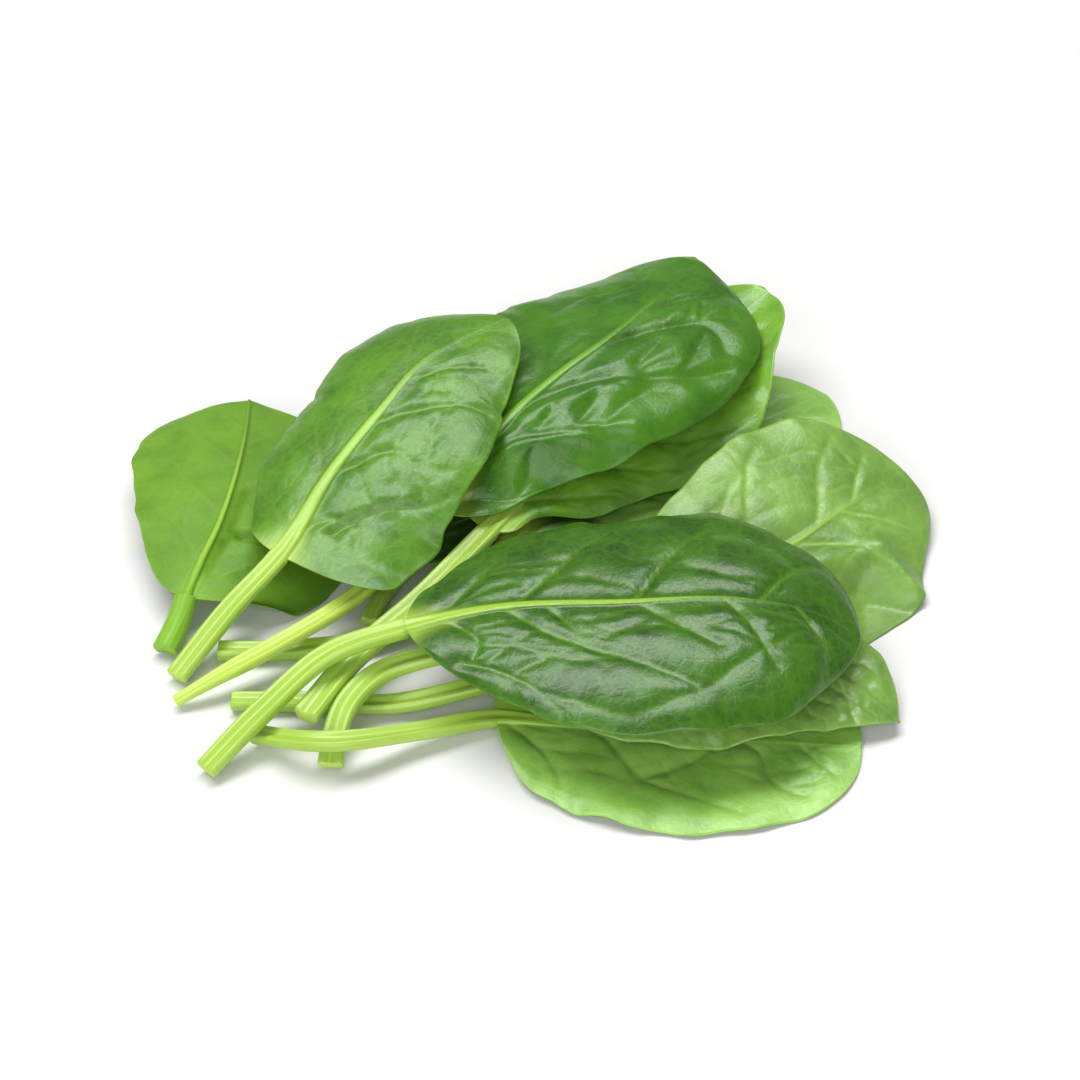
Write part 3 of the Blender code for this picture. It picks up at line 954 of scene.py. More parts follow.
    def _assemble(self, top: np.ndarray, low: np.ndarray, tip: np.ndarray, flat_x: np.ndarray,
                  flat_out: np.ndarray, masks: dict[str, np.ndarray]) -> bpy.types.Object:
        """Joins both sheets at the margins, the cut end and the tip, and stores the flat places and masks.

        Args:
            top, low: upper and lower points, rows by columns by three, in mm.
            tip: the point of the tip, in mm.
            flat_x, flat_out: places of the points on the leaf laid flat, in mm.
            masks: values of the points by name.

        Returns:
            The object.
        """
        rows, columns = top.shape[:2]
        count = rows * columns
        points = np.concatenate([top.reshape(-1, 3), low.reshape(-1, 3), tip[None, :]])
        points = (points - [FOOTPRINT_CENTRE[0], FOOTPRINT_CENTRE[1], 0.0]) * MM
        upper = np.arange(count).reshape(rows, columns)
        under = upper + count
        a, b, c, d = upper[:-1, :-1], upper[:-1, 1:], upper[1:, 1:], upper[1:, :-1]
        quads = [np.stack([a, b, c, d], -1).reshape(-1, 4), np.stack([d, c, b, a], -1).reshape(-1, 4) + count]
        quads.append(np.stack([under[:-1, 0], upper[:-1, 0], upper[1:, 0], under[1:, 0]], -1))
        quads.append(np.stack([upper[:-1, -1], under[:-1, -1], under[1:, -1], upper[1:, -1]], -1))
        quads.append(np.stack([upper[0, :-1], under[0, :-1], under[0, 1:], upper[0, 1:]], -1))
        apex = np.full(columns - 1, 2 * count)
        fans = [np.stack([upper[-1, :-1], upper[-1, 1:], apex], -1)]
        fans.append(np.stack([under[-1, 1:], under[-1, :-1], apex], -1))
        left_fan = [under[-1, 0], upper[-1, 0], 2 * count]
        right_fan = [upper[-1, -1], under[-1, -1], 2 * count]
        fans.append(np.array([left_fan, right_fan]))
        mesh = new_mesh(self.name, points, np.concatenate(quads), np.concatenate(fans))
        flat = np.stack([flat_x, flat_out], -1).reshape(-1, 2)
        tip_flat = np.array([[self.path.length, 0.0]])
        store_flat_places(mesh, np.concatenate([flat, flat, tip_flat]) * UV_PER_MM)
        for key, value in masks.items():
            both = np.concatenate([value.ravel(), value.ravel(), [0.0]])
            store_mask(mesh, key, both)
        store_mask(mesh, "under", np.concatenate([np.zeros(count), np.ones(count), [0.5]]))
        mesh.materials.append(self.finish.material())
        made = bpy.data.objects.new(f"{self.name}_surface", mesh)
        bpy.context.scene.collection.objects.link(made)
        return made


def new_mesh(name: str, points: np.ndarray, quads: np.ndarray, fans: np.ndarray) -> bpy.types.Mesh:
    """A smooth-shaded mesh from whole arrays.

    Args:
        name: the mesh's name.
        points: corners in metres.
        quads: four corner numbers a row.
        fans: three corner numbers a row.

    Returns:
        The mesh.
    """
    mesh = bpy.data.meshes.new(name)
    mesh.vertices.add(len(points))
    mesh.vertices.foreach_set("co", points.astype(np.float32).ravel())
    corners = np.concatenate([quads.ravel(), fans.ravel()]).astype(np.int32)
    mesh.loops.add(len(corners))
    mesh.loops.foreach_set("vertex_index", corners)
    starts = np.concatenate([4 * np.arange(len(quads)), 4 * len(quads) + 3 * np.arange(len(fans))])
    mesh.polygons.add(len(quads) + len(fans))
    mesh.polygons.foreach_set("loop_start", starts.astype(np.int32))
    mesh.update(calc_edges=True)
    mesh.validate()
    mesh.shade_smooth()
    return mesh


def store_flat_places(mesh: bpy.types.Mesh, flat: np.ndarray) -> None:
    """Puts each corner's place on the leaf laid flat into a UV map, 100 mm being one.

    Args:
        mesh: the mesh.
        flat: one place a corner point.
    """
    layer = mesh.uv_layers.new(name="leaf")
    corner = np.empty(len(mesh.loops), np.int32)
    mesh.loops.foreach_get("vertex_index", corner)
    layer.data.foreach_set("uv", flat[corner].astype(np.float32).ravel())


def store_mask(mesh: bpy.types.Mesh, name: str, values: np.ndarray) -> None:
    """Puts one value a corner point into a named attribute."""
    layer = mesh.attributes.new(name, "FLOAT", "POINT")
    layer.data.foreach_set("value", values.astype(np.float32))


class NodeBoard:
    """Places and joins the nodes of one tree."""

    def __init__(self, tree: bpy.types.NodeTree) -> None:
        """Starts on a tree."""
        self.tree = tree
        self.column = 0

    def add(self, kind: str, **values: object) -> bpy.types.Node:
        """A new node with its own properties set.

        Args:
            kind: the node's type.
            values: its properties by name.

        Returns:
            The node.
        """
        node = self.tree.nodes.new(kind)
        self.column += 1
        node.location = (-180.0 * (self.column % 8), -220.0 * (self.column // 8))
        for key, value in values.items():
            setattr(node, key, value)
        return node

    def join(self, source: bpy.types.NodeSocket, target: bpy.types.NodeSocket) -> None:
        """A link from an output to an input."""
        self.tree.links.new(source, target)

    def feed(self, socket: bpy.types.NodeSocket, value: object) -> None:
        """Sets an input to a number or colour, or links it to an output.

        Args:
            socket: the input.
            value: a number, a colour of three or an output.
        """
        if isinstance(value, bpy.types.NodeSocket):
            self.join(value, socket)
        elif isinstance(value, tuple) and len(value) == 3 and socket.type == "RGBA":
            socket.default_value = (*value, 1.0)
        else:
            socket.default_value = value

    def math(self, operation: str, a: object, b: object = 0.0, clamp: bool = False) -> bpy.types.NodeSocket:
        """One step of arithmetic.

        Args:
            operation: the Math node's operation.
            a, b: its first two inputs, numbers or outputs.
            clamp: whether the result is held between 0 and 1.

        Returns:
            The result's output.
        """
        node = self.add("ShaderNodeMath", operation=operation, use_clamp=clamp)
        self.feed(node.inputs[0], a)
        self.feed(node.inputs[1], b)
        return node.outputs[0]

    def span(self, value: object, low: float, high: float, to_low: float = 0.0,
             to_high: float = 1.0) -> bpy.types.NodeSocket:
        """A value moved from one span to another with eased ends.

        Args:
            value: the value.
            low, high: the span that it comes from.
            to_low, to_high: the span that it goes to.

        Returns:
            The result's output.
        """
        node = self.add("ShaderNodeMapRange", interpolation_type="SMOOTHSTEP")
        self.feed(node.inputs["Value"], value)
        node.inputs["From Min"].default_value = low
        node.inputs["From Max"].default_value = high
        node.inputs["To Min"].default_value = to_low
        node.inputs["To Max"].default_value = to_high
        return node.outputs["Result"]

    def blend(self, share: object, a: object, b: object, kind: str = "MIX") -> bpy.types.NodeSocket:
        """Two colours blended by a share.

        Args:
            share: how much of the second is taken.
            a, b: the colours.
            kind: the Mix node's way of blending.

        Returns:
            The blended colour's output.
        """
        node = self.add("ShaderNodeMix", data_type="RGBA", blend_type=kind)
        self.feed(node.inputs[0], share)
        self.feed(node.inputs[6], a)
        self.feed(node.inputs[7], b)
        return node.outputs[2]

    def mask(self, name: str) -> bpy.types.NodeSocket:
        """One of the mesh's named values."""
        return self.add("ShaderNodeAttribute", attribute_name=name).outputs["Fac"]

    def noise(self, place: object, scale: float, detail: float = 2.0) -> bpy.types.NodeSocket:
        """Plain noise at a place.

        Args:
            place: the place's output.
            scale, detail: the noise's size and count of finer layers.

        Returns:
            The noise's output, from 0 to 1.
        """
        node = self.add("ShaderNodeTexNoise")
        self.feed(node.inputs["Vector"], place)
        node.inputs["Scale"].default_value = scale
        node.inputs["Detail"].default_value = detail
        return node.outputs["Fac"]


def new_group(name: str, inputs: dict[str, tuple[str, object]],
              outputs: dict[str, str]) -> bpy.types.NodeTree:
    """An empty shader node group with named sockets.

    Args:
        name: the group's name.
        inputs: socket kind and default value by name.
        outputs: socket kind by name.

    Returns:
        The group, with its input and output nodes in place.
    """
    group = bpy.data.node_groups.new(name, "ShaderNodeTree")
    for key, (kind, value) in inputs.items():
        socket = group.interface.new_socket(name=key, in_out="INPUT", socket_type=kind)
        if value is not None:
            socket.default_value = value
    for key, kind in outputs.items():
        group.interface.new_socket(name=key, in_out="OUTPUT", socket_type=kind)
    group.nodes.new("NodeGroupInput")
    group.nodes.new("NodeGroupOutput")
    return group


def group_ends(group: bpy.types.NodeTree) -> tuple[bpy.types.Node, bpy.types.Node]:
    """A group's input and output nodes."""
    return group.nodes["Group Input"], group.nodes["Group Output"]


def placed(board: NodeBoard, group: bpy.types.NodeTree, **values: object) -> bpy.types.Node:
    """A group's node on a board, with its inputs fed by name.

    Args:
        board: the board.
        group: the group.
        values: values or outputs by the input's name, with _ for a space.

    Returns:
        The node.
    """
    node = board.add("ShaderNodeGroup", node_tree=group)
    for key, value in values.items():
        board.feed(node.inputs[key.replace("_", " ")], value)
    return node


class LeafEffects:
    """The effects that all leaf finishes share, each a node group that is made once."""

    made: dict[str, bpy.types.NodeTree] = {}

    @classmethod
    def mottle(cls) -> bpy.types.NodeTree:
        """Cloudy patches and a fine grain over the leaf laid flat.

        Returns:
            The group, with the outputs Patch and Grain.
        """
        if "mottle" not in cls.made:
            group = new_group("leaf_mottle", {"Place": ("NodeSocketVector", None)},
                              {"Patch": "NodeSocketFloat", "Grain": "NodeSocketFloat"})
            start, end = group_ends(group)
            board = NodeBoard(group)
            patch = board.noise(start.outputs["Place"], 7.0, 3.0)
            board.join(board.span(patch, 0.36, 0.64), end.inputs["Patch"])
            board.join(board.noise(start.outputs["Place"], 130.0, 3.0), end.inputs["Grain"])
            cls.made["mottle"] = group
        return cls.made["mottle"]

    @classmethod
    def veinlets(cls) -> bpy.types.NodeTree:
        """A fine net of veinlets: lines between the cells of two Voronoi patterns, one the finer.

        Returns:
            The group, with the outputs Lines and Height.
        """
        if "veinlets" not in cls.made:
            group = new_group("leaf_veinlets", {"Place": ("NodeSocketVector", None)},
                              {"Lines": "NodeSocketFloat", "Height": "NodeSocketFloat"})
            start, end = group_ends(group)
            board = NodeBoard(group)
            shake = board.add("ShaderNodeTexNoise")
            board.feed(shake.inputs["Vector"], start.outputs["Place"])
            shake.inputs["Scale"].default_value = 34.0
            moved = board.add("ShaderNodeVectorMath", operation="MULTIPLY_ADD")
            board.feed(moved.inputs[0], shake.outputs["Color"])
            moved.inputs[1].default_value = (0.012, 0.012, 0.0)
            board.feed(moved.inputs[2], start.outputs["Place"])
            heights = []
            for scale in (38.0, 85.0):
                net = board.add("ShaderNodeTexVoronoi", feature="DISTANCE_TO_EDGE")
                board.feed(net.inputs["Vector"], moved.outputs[0])
                net.inputs["Scale"].default_value = scale
                heights.append(board.span(net.outputs["Distance"], 0.0, 0.22))
            both = board.math("MULTIPLY_ADD", heights[1], 0.45)
            both.node.inputs[2].default_value = 0.0
            board.join(heights[0], both.node.inputs[2])
            board.join(both, end.inputs["Height"])
            board.join(board.math("SUBTRACT", 1.0, heights[0]), end.inputs["Lines"])
            cls.made["veinlets"] = group
        return cls.made["veinlets"]

    @classmethod
    def strands(cls) -> bpy.types.NodeTree:
        """Long strands along the stalk: noise stretched along it.

        Returns:
            The group, with the output Strands.
        """
        if "strands" not in cls.made:
            group = new_group("stalk_strands", {"Place": ("NodeSocketVector", None)},
                              {"Strands": "NodeSocketFloat"})
            start, end = group_ends(group)
            board = NodeBoard(group)
            turned = board.add("ShaderNodeMapping")
            board.feed(turned.inputs["Vector"], start.outputs["Place"])
            turned.inputs["Scale"].default_value = (4.0, 130.0, 1.0)
            board.join(board.noise(turned.outputs["Vector"], 1.0, 3.0), end.inputs["Strands"])
            cls.made["strands"] = group
        return cls.made["strands"]


# How a finish blends its colours and shapes its skin
PATCH_SHARE = 0.6
TONE_SHARE = 0.4
VEINLET_SHARE = 0.1
CELL_LINE_SHARE = 0.14
UNDER_SHARE = 0.55
# How strongly the highlight along the margin is painted
RIM_HIGHLIGHT_SHARE = 0.3
MIDRIB_SHARE = 0.85
# Tint that multiplies the green where shade is painted into the furrows and cracks
CREASE_SHADE_TINT = (0.30, 0.42, 0.20)
UNDER_DULLNESS = 0.14
GRAIN_SPAN = (-0.05, 0.07)
GRAIN_HEIGHT = 0.35
BUMP_DEPTH = 0.15 * MM
COAT_ROUGHNESS = 0.25
SCATTER = 0.12
SCATTER_RADIUS = (0.5, 1.0, 0.15)
SCATTER_DEPTH = 0.0012
SKIN_IOR = 1.45


@dataclass(frozen=True)
class LeafFinish:
    """Colours and gloss of a leaf.

    Attributes:
        deep, fresh: the blade's darker and lighter green.
        vein: colour of the side veins; vein_share: how clearly they show; crease: how strongly shade is
            painted into the furrows and along the cracks near the veins.
        under: the underside's green.
        stalk, stalk_pale: the stalk's colour and that of its ridges and cut end.
        midrib: colour of the midrib.
        roughness, coat, shine: the skin's gloss, and how much of the light it mirrors.
        bump: strength of the fine net and grain.
    """

    name: str
    role: Role
    deep: tuple[float, float, float]
    fresh: tuple[float, float, float]
    vein: tuple[float, float, float] = (0.26, 0.47, 0.035)
    vein_share: float = 0.6
    # Strength of the shade painted into the furrows and cracks
    crease_shade: float = 0.7
    under: tuple[float, float, float] = (0.13, 0.29, 0.03)
    stalk: tuple[float, float, float] = (0.30, 0.50, 0.04)
    stalk_pale: tuple[float, float, float] = (0.45, 0.64, 0.11)
    midrib: tuple[float, float, float] = (0.33, 0.56, 0.045)
    roughness: float = 0.38
    coat: float = 0.06
    shine: float = 0.5
    bump: float = 0.16

    def material(self) -> bpy.types.Material:
        """The finish as a material, made once.

        Returns:
            The material.
        """
        found = bpy.data.materials.get(self.name)
        if found:
            return found
        made = bpy.data.materials.new(self.name)
        made.use_nodes = True
        board = NodeBoard(made.node_tree)
        shader = made.node_tree.nodes["Principled BSDF"]
        place = board.add("ShaderNodeUVMap", uv_map="leaf").outputs["UV"]
        mottle = placed(board, LeafEffects.mottle(), Place=place)
        net = placed(board, LeafEffects.veinlets(), Place=place)
        strands = placed(board, LeafEffects.strands(), Place=place)
        board.join(self._colour(board, mottle, net, strands), shader.inputs["Base Color"])
        board.join(self._roughness(board, mottle), shader.inputs["Roughness"])
        board.join(self._bump(board, mottle, net, strands), shader.inputs["Normal"])
        shader.inputs["Coat Weight"].default_value = self.coat
        shader.inputs["Coat Roughness"].default_value = COAT_ROUGHNESS
        shader.inputs["Subsurface Weight"].default_value = SCATTER
        shader.inputs["Subsurface Radius"].default_value = SCATTER_RADIUS
        shader.inputs["Subsurface Scale"].default_value = SCATTER_DEPTH
        shader.inputs["IOR"].default_value = SKIN_IOR
        shader.inputs["Specular IOR Level"].default_value = self.shine
        made.diffuse_color = (*self.fresh, 1.0)
        return made

    def _colour(self, board: NodeBoard, mottle: bpy.types.Node, net: bpy.types.Node,
                strands: bpy.types.Node) -> bpy.types.NodeSocket:
        """Blade greens by patches and cells, then painted shade in the furrows, underside, veins, a painted
        highlight along the margin, stalk and cut end.

        Args:
            board: the material's board.
            mottle, net, strands: the nodes of the shared effects.

        Returns:
            The colour's output.
        """
        patch = board.math("MULTIPLY_ADD", mottle.outputs["Patch"], PATCH_SHARE)
        board.join(board.math("MULTIPLY", board.mask("tone"), TONE_SHARE), patch.node.inputs[2])
        colour = board.blend(patch, self.deep, self.fresh)
        fine = board.math("MULTIPLY", net.outputs["Lines"], VEINLET_SHARE)
        colour = board.blend(fine, colour, self.vein)
        cells = board.math("MULTIPLY", board.mask("net"), CELL_LINE_SHARE * self.vein_share)
        colour = board.blend(cells, colour, self.vein)
        # Painted shade: the green darkened by the tint in the furrows and cracks
        crease_shaded_colour = board.blend(1.0, colour, CREASE_SHADE_TINT, "MULTIPLY")
        colour = board.blend(board.math("MULTIPLY", board.mask("furrow"), self.crease_shade), colour, crease_shaded_colour)
        under = board.blend(UNDER_SHARE, colour, self.under)
        colour = board.blend(board.mask("under"), colour, under)
        veins = board.math("MULTIPLY", board.mask("vein"), self.vein_share)
        colour = board.blend(veins, colour, self.vein)
        # Painted highlight: a pale line along the margin
        colour = board.blend(board.math("MULTIPLY", board.mask("rim"), RIM_HIGHLIGHT_SHARE), colour, self.vein)
        stalk = board.blend(board.span(strands.outputs["Strands"], 0.25, 0.8), self.stalk, self.stalk_pale)
        colour = board.blend(board.math("MULTIPLY", board.mask("rib"), MIDRIB_SHARE), colour, self.midrib)
        colour = board.blend(board.mask("foot"), colour, stalk)
        return board.blend(board.mask("cut"), colour, self.stalk_pale)

    def _roughness(self, board: NodeBoard, mottle: bpy.types.Node) -> bpy.types.NodeSocket:
        """Gloss that varies with the grain, duller underneath.

        Args:
            board: the material's board.
            mottle: the node of the patches and the grain.

        Returns:
            The roughness's output.
        """
        low, high = (self.roughness + shift for shift in GRAIN_SPAN)
        grain = board.span(mottle.outputs["Grain"], 0.3, 0.7, low, high)
        return board.math("ADD", grain, board.math("MULTIPLY", board.mask("under"), UNDER_DULLNESS))

    def _bump(self, board: NodeBoard, mottle: bpy.types.Node, net: bpy.types.Node,
              strands: bpy.types.Node) -> bpy.types.NodeSocket:
        """Relief of the fine net and the grain on the blade and of the strands on the stalk.

        Args:
            board: the material's board.
            mottle, net, strands: the nodes of the shared effects.

        Returns:
            The normal's output.
        """
        skin = board.math("MULTIPLY_ADD", mottle.outputs["Grain"], GRAIN_HEIGHT)
        board.join(net.outputs["Height"], skin.node.inputs[2])
        height = board.add("ShaderNodeMix", data_type="FLOAT")
        board.feed(height.inputs[0], board.mask("foot"))
        board.feed(height.inputs[2], skin)
        board.feed(height.inputs[3], strands.outputs["Strands"])
        bump = board.add("ShaderNodeBump")
        bump.inputs["Strength"].default_value = self.bump
        bump.inputs["Distance"].default_value = BUMP_DEPTH
        board.join(height.outputs[0], bump.inputs["Height"])
        return bump.outputs["Normal"]


DARK_LEAF = LeafFinish("leaf_skin_dark", Role.DARK, deep=(0.016, 0.070, 0.002), fresh=(0.044, 0.150, 0.005),
                       vein=(0.16, 0.36, 0.02), vein_share=0.55, roughness=0.31, coat=0.1, shine=0.5)
TOP_LEAF = LeafFinish("leaf_skin_top", Role.MID, deep=(0.026, 0.118, 0.003), fresh=(0.062, 0.205, 0.006),
                      vein=(0.12, 0.30, 0.015), vein_share=0.25, stalk=(0.42, 0.61, 0.05),
                      stalk_pale=(0.58, 0.74, 0.15), midrib=(0.16, 0.38, 0.02), roughness=0.35, shine=0.55)
# Painted light: greens lighter than the leaf's own, standing in for the sheen on a leaf that lies in the top
# leaf's shade
SHADED_LEAF_PAINTED_LIGHT = LeafFinish("leaf_skin_shade_painted_light", Role.MID, deep=(0.085, 0.250, 0.010), fresh=(0.180, 0.410, 0.028),
                        vein=(0.30, 0.52, 0.06), vein_share=0.4, crease_shade=0.9, roughness=0.36, shine=0.8)
# Near-black greens: shade painted onto the leaf that lies in the deep gap between the others
BACK_LEAF_PAINTED_SHADE = LeafFinish("leaf_skin_back_painted_shade", Role.DARK, deep=(0.008, 0.034, 0.001), fresh=(0.02, 0.075, 0.003),
                       vein=(0.05, 0.14, 0.01), vein_share=0.3, shine=0.25)
# Pale greens, partly the leaves' own paler tone and partly painted light: lighter to make up for the light
# and sheen that the leaves above keep from them
LOW_LEAF_PAINTED_LIGHT = LeafFinish("leaf_skin_low_painted_light", Role.MID, deep=(0.180, 0.415, 0.050), fresh=(0.315, 0.600, 0.100),
                      vein=(0.42, 0.66, 0.16), shine=0.75)
FRESH_LEAF = LeafFinish("leaf_skin_fresh", Role.MID, deep=(0.110, 0.250, 0.030), fresh=(0.205, 0.385, 0.060),
                        vein=(0.32, 0.54, 0.10), vein_share=0.8, crease_shade=0.5, midrib=(0.40, 0.62, 0.08),
                        shine=0.75)
MILD_LEAF = LeafFinish("leaf_skin_mild", Role.MID, deep=(0.040, 0.150, 0.003), fresh=(0.100, 0.270, 0.009),
                       midrib=(0.36, 0.60, 0.07), vein=(0.24, 0.46, 0.04), vein_share=0.4, crease_shade=1.0,
                       roughness=0.4, shine=0.65)
LIGHT_LEAF = LeafFinish("leaf_skin_light", Role.LIGHT, deep=(0.06, 0.19, 0.004), fresh=(0.17, 0.36, 0.014),
                        under=(0.12, 0.28, 0.010), vein=(0.30, 0.52, 0.05), vein_share=0.2,
                        stalk=(0.15, 0.36, 0.015), stalk_pale=(0.26, 0.50, 0.03), midrib=(0.28, 0.50, 0.04),
                        roughness=0.48, coat=0.05, bump=0.15)


